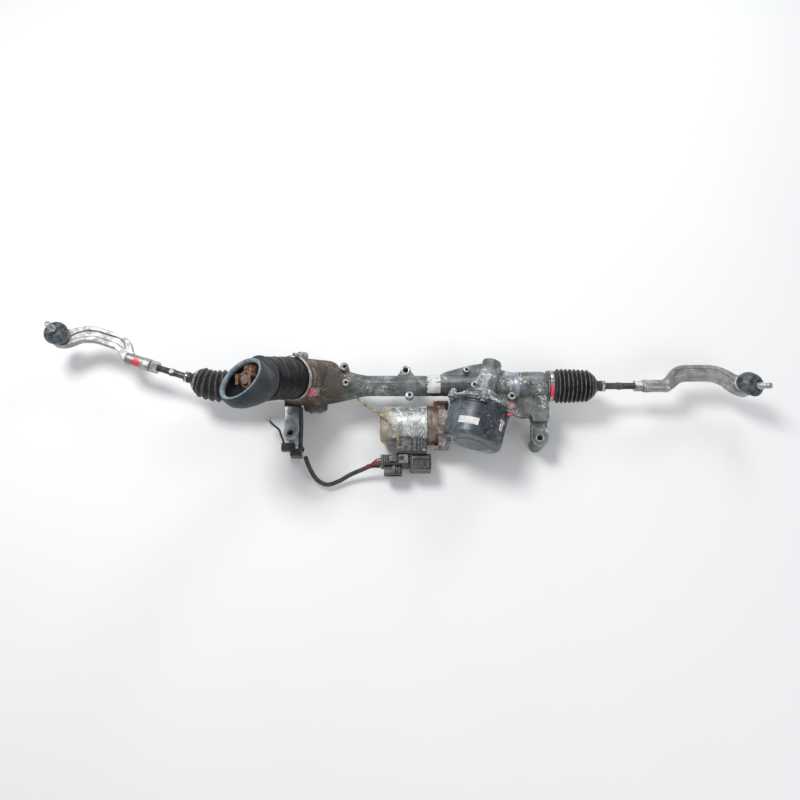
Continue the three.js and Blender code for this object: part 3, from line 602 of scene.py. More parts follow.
def casting_finish(name, brown_from, brown_to):
    """Weathered sand-cast aluminium: grey-green, white corrosion in specks and runs, and road dirt on the input
    side, between two places along the rack; on the assist tower's ridge the white is also a painted highlight."""
    f = Finish(name)
    tone = f.mix(f.step(f.noise(42, 6, 0.6, warp=0.5), 0.35, 0.68), (0.10, 0.115, 0.112), (0.255, 0.28, 0.28))
    streak = f.step(f.noise(7, 5, 0.6, stretch=(0.22, 1, 1)), 0.45, 0.72)
    tone = f.mix(f.times(streak, 0.42), tone, (0.36, 0.39, 0.40))
    fine = f.noise(0.9, 3, 0.75)
    tone = f.mix(f.spread(fine, 0.3, 0.7, 0.0, 0.2), tone, (0.07, 0.075, 0.07))
    dirt_share = f.times(f.height(0, brown_from, brown_to), f.step(f.noise(34, 6, 0.65, warp=1.0), 0.16, 0.5))
    stain = f.most(f.near((214, -40, 4), 44, 22), f.near((206, 6, 22), 26, 12))
    stain = f.times(stain, f.step(f.noise(16, 6, 0.65, warp=1.0), 0.3, 0.6))
    dirt_share = f.most(dirt_share, f.times(stain, 0.75))
    under = f.times(f.upward(0.3, -0.45), 0.8)
    dirt_share = f.most(dirt_share, f.times(under, f.step(f.noise(20, 6), 0.3, 0.6)))
    dirt_share = f.most(dirt_share, f.times(f.hollows(0.49, 0.44), 0.7))
    tone = f.mix(f.times(dirt_share, 0.88), tone, f.mix(f.noise(12, 5), WET_DIRT, ROAD_DIRT))
    worn = f.times(f.edges(0.515, 0.565), f.step(f.noise(8, 4), 0.3, 0.55))
    tone = f.mix(f.times(worn, 0.75), tone, (0.55, 0.56, 0.55))
    # white chalky corrosion in specks, with more of it near the listed spots; at (160, 16, 30) on the assist
    # tower's ridge it is a painted highlight as well as chalk
    where = f.times(f.noise(46, 2), 0.62)
    for point, radius in (((5, -8, 18), 26), ((122, -10, 14), 26), ((166, -26, 22), 32), ((160, 16, 30), 22)):
        where = f.plus(where, f.times(f.near(point, radius, radius * 0.8), 0.032))
    chalk_and_ridge_highlight = f.step(f.plus(f.noise(3.4, 6, 0.72, warp=1.6), where), 0.90, 0.94)
    chalk_and_ridge_highlight = f.times(chalk_and_ridge_highlight, f.upward(-0.4, 0.3))
    tan = f.mix(f.height(0, brown_from, brown_to), CHALK, (0.42, 0.30, 0.19))
    tone = f.mix(chalk_and_ridge_highlight, tone, tan)
    rough = f.spread(f.noise(9, 5), 0.3, 0.7, 0.38, 0.62)
    rough = f.most(rough, f.times(f.most(chalk_and_ridge_highlight, dirt_share), 0.82))
    metal = f.spread(f.most(chalk_and_ridge_highlight, dirt_share), 0.0, 1.0, 0.72, 0.0)
    normal = f.bump(fine, 0.07)
    normal = f.bump(f.noise(6, 5, 0.7), 0.16, normal)
    normal = f.bump(chalk_and_ridge_highlight, 0.12, normal)
    return f.shade(tone, rough, metal, normal)


def threaded_finish(name):
    f = Finish(name)
    colour = f.mix(f.step(f.noise(6, 4), 0.4, 0.6), (0.30, 0.30, 0.29), (0.55, 0.55, 0.54))
    colour = f.mix(f.times(f.hollows(0.49, 0.4), 0.9), colour, (0.10, 0.06, 0.035))
    return f.shade(colour, f.spread(f.noise(3), 0.3, 0.7, 0.3, 0.55), 0.85, f.bump(f.noise(0.5), 0.03))


def motor_finish():
    """Dull silver shell: white worn patches, brown stain at the closed end, and scratches round it."""
    f = Finish("motor_shell")
    colour = f.mix(f.step(f.noise(16, 6, 0.6), 0.38, 0.6), (0.40, 0.41, 0.41), (0.66, 0.67, 0.66))
    scratch = f.step(f.noise(2.2, 4, 0.7, stretch=(1, 0.25, 0.25)), 0.58, 0.66)
    colour = f.mix(f.times(scratch, 0.5), colour, (0.20, 0.20, 0.20))
    patch = f.step(f.noise(9, 7, 0.7, warp=1.8), 0.53, 0.57)
    patch = f.times(patch, f.upward(0.05, 0.5))
    colour = f.mix(f.times(patch, 0.9), colour, (0.84, 0.84, 0.82))
    stain = f.times(f.height(0, -4, -34), f.step(f.noise(14, 6, 0.7, warp=1.0), 0.3, 0.55))
    colour = f.mix(stain, colour, f.mix(f.noise(5, 4), (0.16, 0.10, 0.05), (0.52, 0.43, 0.28)))
    low = f.times(f.upward(0.1, -0.7), 0.85)
    colour = f.mix(low, colour, (0.07, 0.06, 0.05))
    dull = f.most(f.most(patch, stain), low)
    rough = f.most(f.spread(f.noise(6), 0.3, 0.7, 0.28, 0.46), f.times(dull, 0.7))
    normal = f.bump(f.noise(1.1, 3), 0.04, f.bump(patch, 0.10))
    return f.shade(colour, rough, f.spread(dull, 0, 1, 0.8, 0.05), normal)


def can_finish():
    """Glossy black enamel with a painted blue-grey reflection, broad on its left side and in blotches, pale dust
    specks, and bare metal on its edges.
    """
    f = Finish("black_can")
    colour = f.mix(f.step(f.noise(22, 5), 0.35, 0.65), (0.006, 0.008, 0.010), (0.028, 0.038, 0.047))
    # painted reflection: the can's left side, towards smaller X, turns blue-grey as if it mirrored the pale room
    side = f.times(f.height(0, 150, 98), f.step(f.noise(30, 5, 0.6, warp=0.6), 0.3, 0.6))
    colour = f.mix(f.times(side, 0.75), colour, (0.12, 0.165, 0.20))
    # painted reflection: blotches of pale blue-grey on the black enamel
    painted_reflection_blotches = f.times(f.step(f.noise(11, 7, 0.7, warp=1.2), 0.5, 0.68), 0.5)
    colour = f.mix(painted_reflection_blotches, colour, (0.19, 0.24, 0.28))
    colour = f.mix(f.times(f.edges(0.53, 0.6), f.step(f.noise(4), 0.42, 0.6)), colour, (0.42, 0.45, 0.45))
    speck = f.step(f.plus(f.noise(2.2, 5, 0.75, warp=1), f.times(f.noise(26, 2), 0.45)), 0.88, 0.91)
    colour = f.mix(speck, colour, (0.50, 0.52, 0.50))
    rough = f.most(f.spread(f.noise(8), 0.3, 0.7, 0.26, 0.46), f.times(speck, 0.8))
    normal = f.bump(f.noise(2.6, 3), 0.05, f.bump(f.noise(14, 3), 0.16))
    return f.shade(colour, rough, 0.0, normal, coat=0.25, coat_rough=0.32, specular=0.55)


def paper_finish(name, stain=0.35):
    """A blank, weathered paper or foil label."""
    f = Finish(name)
    colour = f.mix(f.step(f.noise(10, 6, 0.7, warp=1), 0.3, 0.62), (0.50, 0.49, 0.46), (0.80, 0.80, 0.78))
    torn = f.step(f.noise(3.2, 6, 0.75, warp=2), 0.57, 0.60)
    colour = f.mix(f.times(torn, stain), colour, (0.16, 0.16, 0.15))
    return f.shade(colour, f.spread(f.noise(4), 0.3, 0.7, 0.5, 0.75), 0.0, f.bump(f.noise(1.4, 4), 0.06))


def wire_finish(name, colour):
    f = Finish(name)
    tone = f.mix(f.step(f.noise(6, 5), 0.35, 0.65), tuple(c * 0.5 for c in colour), colour)
    return f.shade(tone, f.spread(f.noise(3), 0.3, 0.7, 0.35, 0.55), 0.0, f.bump(f.noise(0.8), 0.03))


LOOK = {
    "cast": casting_finish("cast_aluminium", -62, -128),
    "gear_cast": casting_finish("gear_casting", 60, 40),
    "tower": surface("tower_casting", (0.05, 0.045, 0.04), (0.16, 0.15, 0.13), 0.55, 0.4,
        dirt=((0.05, 0.035, 0.025), 0.7, 20), edge=((0.5, 0.5, 0.48), 0.6)),
    "flange": surface("flange_casting", (0.10, 0.055, 0.040), (0.33, 0.27, 0.23), 0.5, 0.45,
        dirt=((0.11, 0.045, 0.025), 0.75, 16), edge=((0.55, 0.53, 0.50), 0.7),
        spots=((0.6, 0.58, 0.55), 3.0, 0.93)),
    "bracket": surface("bracket_plate", (0.33, 0.37, 0.41), (0.60, 0.66, 0.72), 0.36, 0.75,
        dirt=((0.10, 0.085, 0.07), 0.35, 18), edge=((0.75, 0.78, 0.80), 0.6),
        spots=((0.17, 0.10, 0.06), 2.2, 0.90)),
    "steel": surface("machined_steel", (0.32, 0.33, 0.34), (0.58, 0.59, 0.60), 0.3, 0.9, (0.4, 0.02), 14,
        dirt=((0.08, 0.06, 0.045), 0.4, 12)),
    "dark_steel": surface("dark_steel", (0.045, 0.045, 0.048), (0.15, 0.145, 0.14), 0.42, 0.8, (0.7, 0.03),
    20,
        dirt=((0.07, 0.045, 0.03), 0.5, 14), edge=((0.42, 0.42, 0.42), 0.7)),
    "forged": surface("forged_steel", (0.30, 0.295, 0.285), (0.58, 0.575, 0.56), 0.42, 0.8, (1.3, 0.10), 30,
        dirt=((0.13, 0.11, 0.09), 0.55, 22), edge=((0.78, 0.78, 0.76), 0.75),
        spots=((0.20, 0.12, 0.07), 1.8, 0.93),
        marks=[((-506, 43, 12), 9)]),
    "rusty": surface("rusty_forging", (0.055, 0.020, 0.010), (0.23, 0.095, 0.04), 0.82, 0.1, (1.2, 0.16), 13,
        dirt=((0.035, 0.018, 0.010), 0.7, 9), edge=((0.50, 0.30, 0.18), 0.6)),
    "tan_rust": surface("tan_rust", (0.16, 0.085, 0.035), (0.48, 0.33, 0.17), 0.8, 0.05, (1.0, 0.12), 10,
        dirt=((0.06, 0.03, 0.015), 0.6, 8)),
    "bearing": surface("bearing_steel", (0.5, 0.51, 0.52), (0.72, 0.73, 0.74), 0.18, 0.95, (0.3, 0.01), 12),
    "clamp": surface("clamp_strip", (0.40, 0.40, 0.39), (0.74, 0.74, 0.72), 0.32, 0.85, (0.6, 0.03), 9,
        dirt=((0.10, 0.06, 0.04), 0.55, 8),
        marks=[((284.5, -18, 25), 9), ((284.5, -24, 17), 6)]),
    "motor": motor_finish(),
    "can": can_finish(),
    # the pale edge colour is partly worn edges, partly a painted highlight
    "plastic": surface("black_plastic", (0.008, 0.009, 0.010), (0.032, 0.034, 0.037), 0.36, 0.0,
    (0.5, 0.05), 12,
        dirt=((0.085, 0.07, 0.058), 0.4, 10), edge=((0.50, 0.50, 0.48), 0.42), specular=0.55),
    "brown_plastic": surface("brown_plastic", (0.055, 0.035, 0.025), (0.19, 0.14, 0.11), 0.5, 0.0,
    (0.6, 0.05), 9,
        dirt=((0.02, 0.015, 0.012), 0.6, 7), edge=((0.45, 0.40, 0.35), 0.5)),
    "grey_plastic": surface("grey_plastic", (0.13, 0.14, 0.15), (0.40, 0.42, 0.43), 0.45, 0.0, (0.5, 0.04), 7,
        dirt=((0.03, 0.03, 0.03), 0.6, 6)),
    # the pale grey edge colour on the bellows ribs is a painted highlight
    "rubber": surface("bellows_rubber", (0.010, 0.010, 0.011), (0.032, 0.033, 0.036), 0.46, 0.0,
    (0.8, 0.05), 17,
        dirt=((0.07, 0.062, 0.054), 0.2, 15), edge=((0.60, 0.60, 0.60), 0.75), specular=0.5),
    "cover": surface("cover_rubber", (0.002, 0.002, 0.002), (0.008, 0.008, 0.008), 0.42, 0.0, (1.3, 0.12), 14,
        dirt=((0.022, 0.020, 0.017), 0.2, 12), specular=0.3),
    "seal": surface("seal_foam", (0.009, 0.012, 0.017), (0.030, 0.038, 0.050), 0.6, 0.0, (0.7, 0.10), 22,
        dirt=((0.06, 0.064, 0.066), 0.25, 19), edge=((0.12, 0.155, 0.18), 0.5), sheen=0.08),
    "seal_lip": surface("seal_lip", (0.10, 0.16, 0.19), (0.34, 0.46, 0.50), 0.5, 0.0, (0.6, 0.08), 12,
        dirt=((0.035, 0.05, 0.06), 0.6, 12), sheen=0.2),
    # the pale blue-grey tone, mixed in blotches, is a painted sheen on the black rubber, and the pale edge colour
    # is a painted highlight
    "stud_rubber": surface("stud_rubber", (0.014, 0.017, 0.020), (0.125, 0.150, 0.170), 0.36, 0.0,
    (0.8, 0.04), 11,
        dirt=((0.012, 0.012, 0.012), 0.35, 9), edge=((0.50, 0.55, 0.58), 0.6),
        specular=0.55),
    "nylon": surface("natural_nylon", (0.46, 0.42, 0.32), (0.66, 0.62, 0.52), 0.42, 0.0, (0.6, 0.02), 12,
        dirt=((0.16, 0.12, 0.08), 0.3, 9)),
    "windings": surface("motor_windings", (0.16, 0.06, 0.025), (0.48, 0.22, 0.10), 0.4, 0.7, (0.8, 0.12), 7),
    "conduit": surface("conduit_plastic", (0.012, 0.012, 0.013), (0.045, 0.045, 0.047), 0.4, 0.0,
    (0.5, 0.03), 12,
        dirt=((0.13, 0.11, 0.10), 0.35, 10), edge=((0.17, 0.17, 0.17), 0.5)),
    "cream": surface("cream_sleeve", (0.19, 0.15, 0.08), (0.60, 0.52, 0.36), 0.55, 0.0, (0.6, 0.04), 8,
        dirt=((0.09, 0.06, 0.035), 0.55, 6)),
    "painted_bolt": surface("painted_bolt", (0.62, 0.06, 0.09), (0.90, 0.20, 0.24), 0.4, 0.0, (0.8, 0.06), 5,
        dirt=((0.20, 0.03, 0.04), 0.4, 4), edge=((0.92, 0.50, 0.50), 0.5)),
    "paper": paper_finish("label_paper", 0.9),
    "clean_paper": paper_finish("can_label_paper", 0.25),
    "thread": threaded_finish("stud_thread"),
    "red_wire": wire_finish("red_wire", (0.34, 0.045, 0.03)),
    "brown_wire": wire_finish("brown_wire", (0.17, 0.09, 0.05)),
    "grey_wire": wire_finish("grey_wire", (0.28, 0.28, 0.29)),
}
CARRIED = {
    "machined_steel": "steel", "dark_steel": "dark_steel", "nylon": "nylon",
    "bearing_steel": "bearing", "windings": "windings",
}


# ---- the rack housing
TUBE_R = 19.5
END_R = 25
LEFT_END, RIGHT_END = (corner.x for corner in box("rack_housing"))
OPENINGS = {row["name"]: row["box_m"] for row in frame["record"]["physics"]["openings"]}
EYE_BORE = 5.5
BOSSES = [(-104, 26, 36, 8, 3.2), (-100, -7, 38, 7, 3), (18, -22, 12, 7.5, 3.2),
        (126, 27, 18, 6, 2.8), (139, -7, 27, 6.5, 3), (209, -26, 17, 7.5, 3.4)]


def eye(side):
    low, high = (Vector(corner) / MM - RACK for corner in OPENINGS[f"bolt_hole_{side}"])
    return Vector(((low.x + high.x) / 2, (low.y + high.y) / 2, 0))


def lifted(point, z):
    return Vector((point.x, point.y, z))


BOLT_FLANGE = 0.62, 0.56  # radii of the flange's foot and top, as shares of the flats


def bolt(name, foot, axis, flats, height, look):
    """A hexagon head standing on foot, on a thin round flange."""
    head = hexagon(foot + axis * (height / 2 + 0.8), axis, flats, height, turn=0.3)
    skirt = rod(foot - axis * 0.2, foot + axis * 1.8, flats * BOLT_FLANGE[0], flats * BOLT_FLANGE[1], 32)
    return piece(name, joined(head, skirt), look)


def rack_housing():
    origin = Vector((0, 0, 0))
    shell = turned(filleted([
        (0, LEFT_END), (END_R, LEFT_END), (END_R, -226), (30, -214), (36, -200), (37, -150), (32, -118),
        (21, -72), (TUBE_R, -60), (TUBE_R, 200), (21, 205), (21, 210), (25, 215), (27, 230), (27, 270),
        (END_R, 274), (END_R, RIGHT_END), (0, RIGHT_END),
    ], 5), origin, X, 72)
    gusset = slab(curved([
        (66, 14), (84, 26), (104, 32), (132, 40), (160, 45), (178, 40), (196, 30), (222, 24),
        (222, -20), (246, -22), (246, -62), (232, -66), (206, -58), (180, -34), (150, -22), (66, -14),
    ], 5, 3), -4, 7)
    right, rear = eye("right"), eye("rear")
    arm = joined(
        slab([(229, -8), (277, -8), (279, -48), (277, -72), (248, -72), (240, -44)], -20, 9.5),
        slab(curved([
            (247, -66), (277, -66), (279, -99), (274.5, -112), (262, -117), (249.5, -112), (245, -99),
        ], 9), -26, -12),
        rod(lifted(right, FLOOR), lifted(right, -12), 13, 14),
    )
    ear = joined(
        rod(lifted(rear, FLOOR), lifted(rear, 4), 11, 10),
        slab([(-14, 8), (3, 33), (19, 33), (38, 8)], -16, 2),
    )
    pad = slab([(-224, 10), (-188, 10), (-191, -58), (-220, -58)], -34, -22)
    sleeve = rod(on_input(-46), on_input(54), 31, 37)
    tower = joined(
        rod(on_assist(-44), on_assist(32), 19, 22, 9, edge=2),
        rod(on_assist(23), on_assist(31), 30),
    )
    yokes = [rod(X * root.x, X * root.x + down * 47, r) for root, down, r in (
        (INPUT, YOKE_AXIS["input"], 22), (ASSIST, YOKE_AXIS["assist"], 20))]
    ribs = [slab([(-62, -17), (-126, -33), (-126, -20), (-62, -10)], -6, 4)]
    ribs += [slab([(-60, 17), (-122, 34), (-132, 20), (-60, 8)], -3, 7)]
    ribs += [brick((-58, 198), (-1.2, 1.2), (17, 20.6)), brick((-58, 60), (-20.6, -17), (-1.2, 1.2))]
    body = joined(shell, gusset, arm, ear, pad, sleeve, tower, *yokes, *ribs)
    bores = [
        turned([(0, LEFT_END - 1), (21.5, LEFT_END - 1), (21.5, LEFT_END + 56), (15.5, LEFT_END + 61),
            (15.5, RIGHT_END - 61), (21.5, RIGHT_END - 56), (21.5, RIGHT_END + 1), (0, RIGHT_END + 1)],
            origin, X, 64),
        rod(on_input(-70), on_input(25), 17.5), rod(on_input(24), on_input(60), 20.5),
        rod(on_assist(-36), on_assist(40), 14.5),
        rod(X * INPUT.x, X * INPUT.x + YOKE_AXIS["input"] * 60, 14.5),
        rod(X * ASSIST.x, X * ASSIST.x + YOKE_AXIS["assist"] * 60, 14.5),
        rod(on_input(-66), on_input(-44), 34), rod(on_input(52), on_input(90), 42),
        rod(on_assist(30), on_assist(60), 60),
        rod(Vector((-206, -47, -40)), Vector((-206, -47, -20)), 4.2),
    ]
    rough = cast(cut(body, *bores), 1.5, 5)
    rough = rippled(rough, 9, 0.35)
    bosses = [rod(Vector((x, y, 0)), Vector((x, y, top)), r * 1.12, r, 40, 1.0) for x, y, top, r, _ in BOSSES]
    holes = [rod(Vector((x, y, top - 9)), Vector((x, y, top + 3)), bore, sides=28) for x, y, top, _,
        bore in BOSSES]
    holes += [rod(lifted(p, FLOOR - 5), lifted(p, 12), EYE_BORE, sides=40) for p in (right, rear)]
    holes += [ring(X * 249, X * 250.6, 30, 26.3, 72), ring(X * 272.5, X * 273.6, 30, 25.6, 72)]
    holes += [bores[0]]
    whole = cut(joined(rough, *bosses), *holes)
    piece("rack_housing_casting", whole, "cast", replaces=["rack_housing"])
    piece("machined_band", turned(filleted([
        (20.5, 204.5), (21.5, 204.5), (21.7, 209.5), (25.6, 214.5), (27.1, 222.5), (26.5, 223.5), (24.5, 219),
        (20.5, 209)], 0.5), origin, X, 96),
        "bracket")
    for side in ("right", "rear"):
        p, top = eye(side), {"right": -12, "rear": 4}[side]
        piece(f"lug_sleeve_{side}", ring(lifted(p, top - 14), lifted(p, top + 0.9), 8.2, EYE_BORE + 0.1),
              "clamp")


YOKE_AXIS = {
    "input": (INPUT - X * INPUT.x).normalized() * -1,
    "assist": (ASSIST - X * ASSIST.x).normalized() * -1,
}


def yoke_plugs():
    for name, root, size in (("input", INPUT, 5), ("assist", ASSIST, 4)):
        down, start = YOKE_AXIS[name], X * root.x
        plug = joined(
            rod(start + down * 34.5, start + down * 48, 14.2),
            hexagon(start + down * (47 + size / 2), down, 22, size),
        )
        piece(f"{name}_yoke_adjuster", plug, "steel", replaces=[f"{name}_yoke_plug"])
        piece(f"{name}_yoke_lock_ring", ring(start + down * 47.1, start + down * 48.6, 19, 14.3),
              "dark_steel")


def left_bracket():
    p, top = eye("left"), -14
    plate = slab(curved([
        (-219, -36), (-193, -36), (-192, -62), (-193, -88), (-219, -88), (-217, -62)], 3), -21.7, top)
    boss = rod(lifted(p, FLOOR), lifted(p, top), 13, 14, 56, 1.2)
    clear = [
        rod(lifted(p, FLOOR - 2), lifted(p, 0), EYE_BORE),
        turned([(0, -232), (31, -232), (38.8, -200), (38.8, -140), (0, -140)], Vector((0, 0, 0)), X, 64),
        rod(X * INPUT.x, X * INPUT.x + YOKE_AXIS["input"] * 50, 22.6),
        rod(lifted(p, top - 1.2), lifted(p, top + 1), 10.4),
    ]
    body = eased(cut(joined(plate, boss), *clear), 0.9)
    piece("left_bracket_plate", body, "bracket", replaces=["left_mount_bracket"])
    piece("lug_sleeve_left", ring(lifted(p, top - 15), lifted(p, top + 0.6), 9.6, EYE_BORE + 0.1),
          "clamp")
    at = Vector((-206, -47, top))
    bolt("bracket_bolt", at, Z, 12, 6, "steel")
    piece("bracket_bolt_shank", rod(lifted(at, -33), lifted(at, top + 0.5), 3.7), "steel")


# ---- the input tower
SEAL_NORMAL = Vector((-0.500, 0.323, 0.803)).normalized()
SEAL_STATION = 205


def seal_bend(point):
    """Turns the seal's mouth from square to the shaft to its real slant, gently along its length."""
    centre = on_input(SEAL_STATION)
    reach = (point - centre).dot(INPUT_AXIS)
    t = min(1, max(0, (reach + 48) / 34))
    spin = Matrix.Rotation(INPUT_AXIS.angle(SEAL_NORMAL), 3, INPUT_AXIS.cross(SEAL_NORMAL).normalized())
    return point.lerp(spin @ (point - centre) + centre, t * t * (3 - 2 * t))


def perpendicular(axis, towards):
    return (towards - axis * towards.dot(axis)).normalized()


def input_tower():
    piece("pinion_cap_cover", turned(filleted([
        (0, -52), (18, -52), (21, -49), (30, -47), (30, -44.3), (16.8, -44.3), (16.8, -41), (0, -41),
    ], 0.8), INPUT, INPUT_AXIS, 72), "steel", replaces=["pinion_cap"])
    piece("sensor_case", turned(filleted([
        (20.5, 52.3), (36.5, 52.3), (36.5, 60), (33, 62), (33, 118), (26, 128), (13, 128), (13, 121),
        (26, 116), (26, 58), (20.5, 58),
    ], 1.2), INPUT, INPUT_AXIS, 96), "tower", replaces=["sensor_housing"])

    first = perpendicular(INPUT_AXIS, Vector((0.676, -0.731, 0.11)))
    for k in range(3):
        out = Matrix.Rotation(2 * pi * k / 3, 3, INPUT_AXIS) @ first
        foot = on_input(51) + out * 40
        lug = rod(foot - INPUT_AXIS * 11, foot + INPUT_AXIS * 6, 7.6, 8.2, 40, 1.2)
        piece(f"tower_lug_{k + 1}", lug, "cast")
        look = "painted_bolt" if k == 0 else "steel"
        bolt(f"tower_bolt_{k + 1}", foot + INPUT_AXIS * 6, INPUT_AXIS, 14 if k == 0 else 11, 6.5, look)

    outer = [(34.4, 62), (37.4, 62.5)]
    s = 64.0
    while s <= 150:
        outer.append((38.0, s))
        s += 1.6
    outer += [(36.6, 151), (34, 150), (34, 132), (34.4, 110), (34, 88), (34, 64)]

    def wrinkles(a, s, r):
        if r < 35:
            return 0
        deep = noise.noise(Vector((cos(a) * 1.7, sin(a) * 1.7, s / 16)))
        fold = sin((s + 13 * deep + 4 * sin(a * 2)) / 10.5 * pi)
        return 1.1 * fold * (0.35 + abs(deep)) + 0.8 * deep if s > 75 else 0.3 * deep

    piece("tower_cover_rubber", turned(outer, INPUT, INPUT_AXIS, 128, wrinkles), "cover",
          replaces=["tower_cover"], crease=60)
    piece("cover_band_strip", turned(filleted([
        (39.6, 66), (40.6, 66), (41, 67), (40.5, 69.5), (41, 72), (40.6, 73), (39.6, 73)], 0.3),
        INPUT, INPUT_AXIS, 96), "clamp", replaces=["cover_band"])
    screw_out = perpendicular(INPUT_AXIS, Vector((0.3, 0.9, 0.3)))
    screw_side = INPUT_AXIS.cross(screw_out)
    at = on_input(69.5) + screw_out * 42.6
    housing = eased(prism([(-5, -3.4), (5, -3.4), (5, 3.4), (-5, 3.4)], 4, at - screw_out * 2, screw_side,
        INPUT_AXIS), 0.8)
    piece("cover_band_housing", housing, "clamp")
    piece("cover_band_screw", hexagon(at + screw_side * 6.8, screw_side, 5, 3.4), "steel")
    dash_seal()


def dash_seal():
    profile = [
        (37.8, 0), (39.4, 2.4), (41, 3), (43, 2), (44.4, 0), (45.4, -6), (45.5, -12), (45.2, -19), (44, -26),
        (42, -34), (40.6, -40), (41.4, -43), (40.2, -47), (38.6, -50), (37.4, -52), (34.5, -52), (35.6, -46),
        (37.6, -38), (40.4, -28), (42.2, -20), (42.6, -12), (40.6, -5),
    ]
    fine = filleted(profile, 2.0, 3)

    def sag(a, s, r):
        slow = noise.noise(Vector((cos(a) * 1.4, sin(a) * 1.4, s / 40)))
        return 1.1 * slow if s < -6 else 0.5 * slow

    body = turned(fine, on_input(SEAL_STATION), INPUT_AXIS, 128, sag)
    piece("dash_seal_rubber", moved(body, seal_bend), "seal", replaces=["dash_seal"], crease=60)
    lip = turned(filleted([
        (37.0, -4), (36.6, 0.6), (38.0, 3.0), (40.0, 3.9), (42.6, 3.6), (42.4, 2.6), (39.6, 2.0), (38.0, 0.2),
        (37.9, -4)], 0.7, 2), on_input(SEAL_STATION), INPUT_AXIS, 128)
    piece("dash_seal_lip", moved(lip, seal_bend), "seal_lip", crease=60)


def input_shaft():
    def serration(a, s, r):
        return 0.45 * max(-0.6, cos(a * 24)) if 155 < s < 196.5 and r > 8 else 0

    profile = [(8.55, 150), (9.0, 152)] + [(9.0, 155 + 2.6 * i) for i in range(17)] + [(8.2, 198.4),
        (7, 198.4), (7, 150)]
    piece("shaft_serrations", turned(profile, INPUT, INPUT_AXIS, 144, serration), "rusty",
          "input_shaft", crease=30)

    side = INPUT_AXIS.cross(X).normalized()
    out = INPUT_AXIS.cross(side)
    hub = ring(on_input(164), on_input(194), 14.6, 9.6, 56, 1.2)
    ears = prism(curved([(-22, -9), (24, -9), (24, 9), (-22, 9)], 5), 12, on_input(176), side, out)
    forks = [
        prism(curved([(-9, -3), (9, -3), (9, 3), (-9, 3)], 2.5), 12, on_input(190) + out * offset, side, out)
        for offset in (-13.5, 13.5)
    ]
    slit = prism([(10, -1.1), (26, -1.1), (26, 1.1), (10, 1.1)], 40, on_input(160), side, out)
    body = cut(joined(hub, ears, *forks), rod(on_input(160), on_input(210), 9.6), slit)
    piece("coupling_yoke", eased(body, 0.7), "rusty", "input_shaft", replaces=["input_coupling"])
    pinch = on_input(181) + side * 16
    piece("coupling_pinch_bolt", joined(
        rod(pinch - out * 12, pinch + out * 11, 3.2),
        hexagon(pinch + out * 10, out, 9, 4),
        hexagon(pinch - out * 10, out, 9, 4),
    ), "tan_rust", "input_shaft")
    piece("coupling_band", ring(on_input(165.5), on_input(170.5), 16.2, 14.5, 56), "tan_rust", "input_shaft")


# ---- the assist gear case
CASE_R, RIM_R, RIM_LUG_R = 55, 57, 60.5
MOTOR_FACE = 85
FINS, FIN_THICK = 12, 2.4
RIM_LUGS = [pi - 0.45, 0.45, pi / 2, 1.5 * pi]
RIM_SIDE = ASSIST_AXIS.cross(Z)


def rim_point(turn, s):
    return on_assist(s) + (Z * sin(turn) + RIM_SIDE * cos(turn)) * RIM_LUG_R


def flange_outline():
    right = [(0, 49), (16, 45), (31, 26), (36, 14), (36, -14), (31, -26), (16, -45), (0, -49)]
    left = [(-a, b) for a, b in right[-2:0:-1]]
    return curved(right + left, 7)


def motor_plate(x0, x1):
    return prism(flange_outline(), x1 - x0, on_motor(x0), Z, -Y)


def gear_case():
    cone = turned(filleted([
        (0, 30.3), (30, 30.3), (31, 35), (46, 41.5), (53.5, 45), (RIM_R, 46), (RIM_R, 52), (0, 52)], 2),
        ASSIST, ASSIST_AXIS, 96)
    worm_tube = rod(on_motor(MOTOR_FACE + 0.3), on_motor(MOTOR.x + 44), 17.5, edge=2)
    throat = rod(on_motor(MOTOR_FACE + 5), on_motor(MOTOR_FACE + 24), 32, 18)
    web = brick((108, 176), (MOTOR.y - 10, MOTOR.y + 34), (MOTOR.z - 10, MOTOR.z + 12))
    lugs = [rod(rim_point(t, 46), rim_point(t, 52), 8.6) for t in RIM_LUGS[:3]]
    fins = []
    for k in range(FINS):
        turn = pi * (k + 0.5) / FINS * 2
        out = Z * sin(turn) + RIM_SIDE * cos(turn)
        fins.append(prism([(26, 31.5), (34, 33), (52, 41.5), (56, 46.5), (26, 47)], FIN_THICK,
                ASSIST - out.cross(ASSIST_AXIS) * (FIN_THICK / 2), out, ASSIST_AXIS))
    body = joined(cone, worm_tube, throat, web, *lugs, *fins,
            motor_plate(MOTOR_FACE + 0.3, MOTOR_FACE + 7.3))
    hollow = [
        rod(on_assist(20), on_assist(60), 14.5),
        turned([(0, 42), (44, 42), (44, 90), (0, 90)], ASSIST, ASSIST_AXIS, 64),
        rod(on_motor(MOTOR_FACE - 2), on_motor(MOTOR.x + 38), 11.5),
        *[rod(rim_point(t, 38), rim_point(t, 70), 4.7, sides=24) for t in RIM_LUGS[:3]],
    ]
    rough = cast(cut(body, *hollow), 1.1, 3)
    trim = rod(on_assist(52.1), on_assist(70), 90)
    piece("gear_case_casting", cut(rippled(rough, 7, 0.25), trim), "gear_cast",
          replaces=["gear_housing"])
    worm_end = on_motor(MOTOR.x + 44)
    piece("worm_bore_plug", rod(worm_end - X * 1, worm_end + X * 1.6, 12, edge=0.8), "steel")


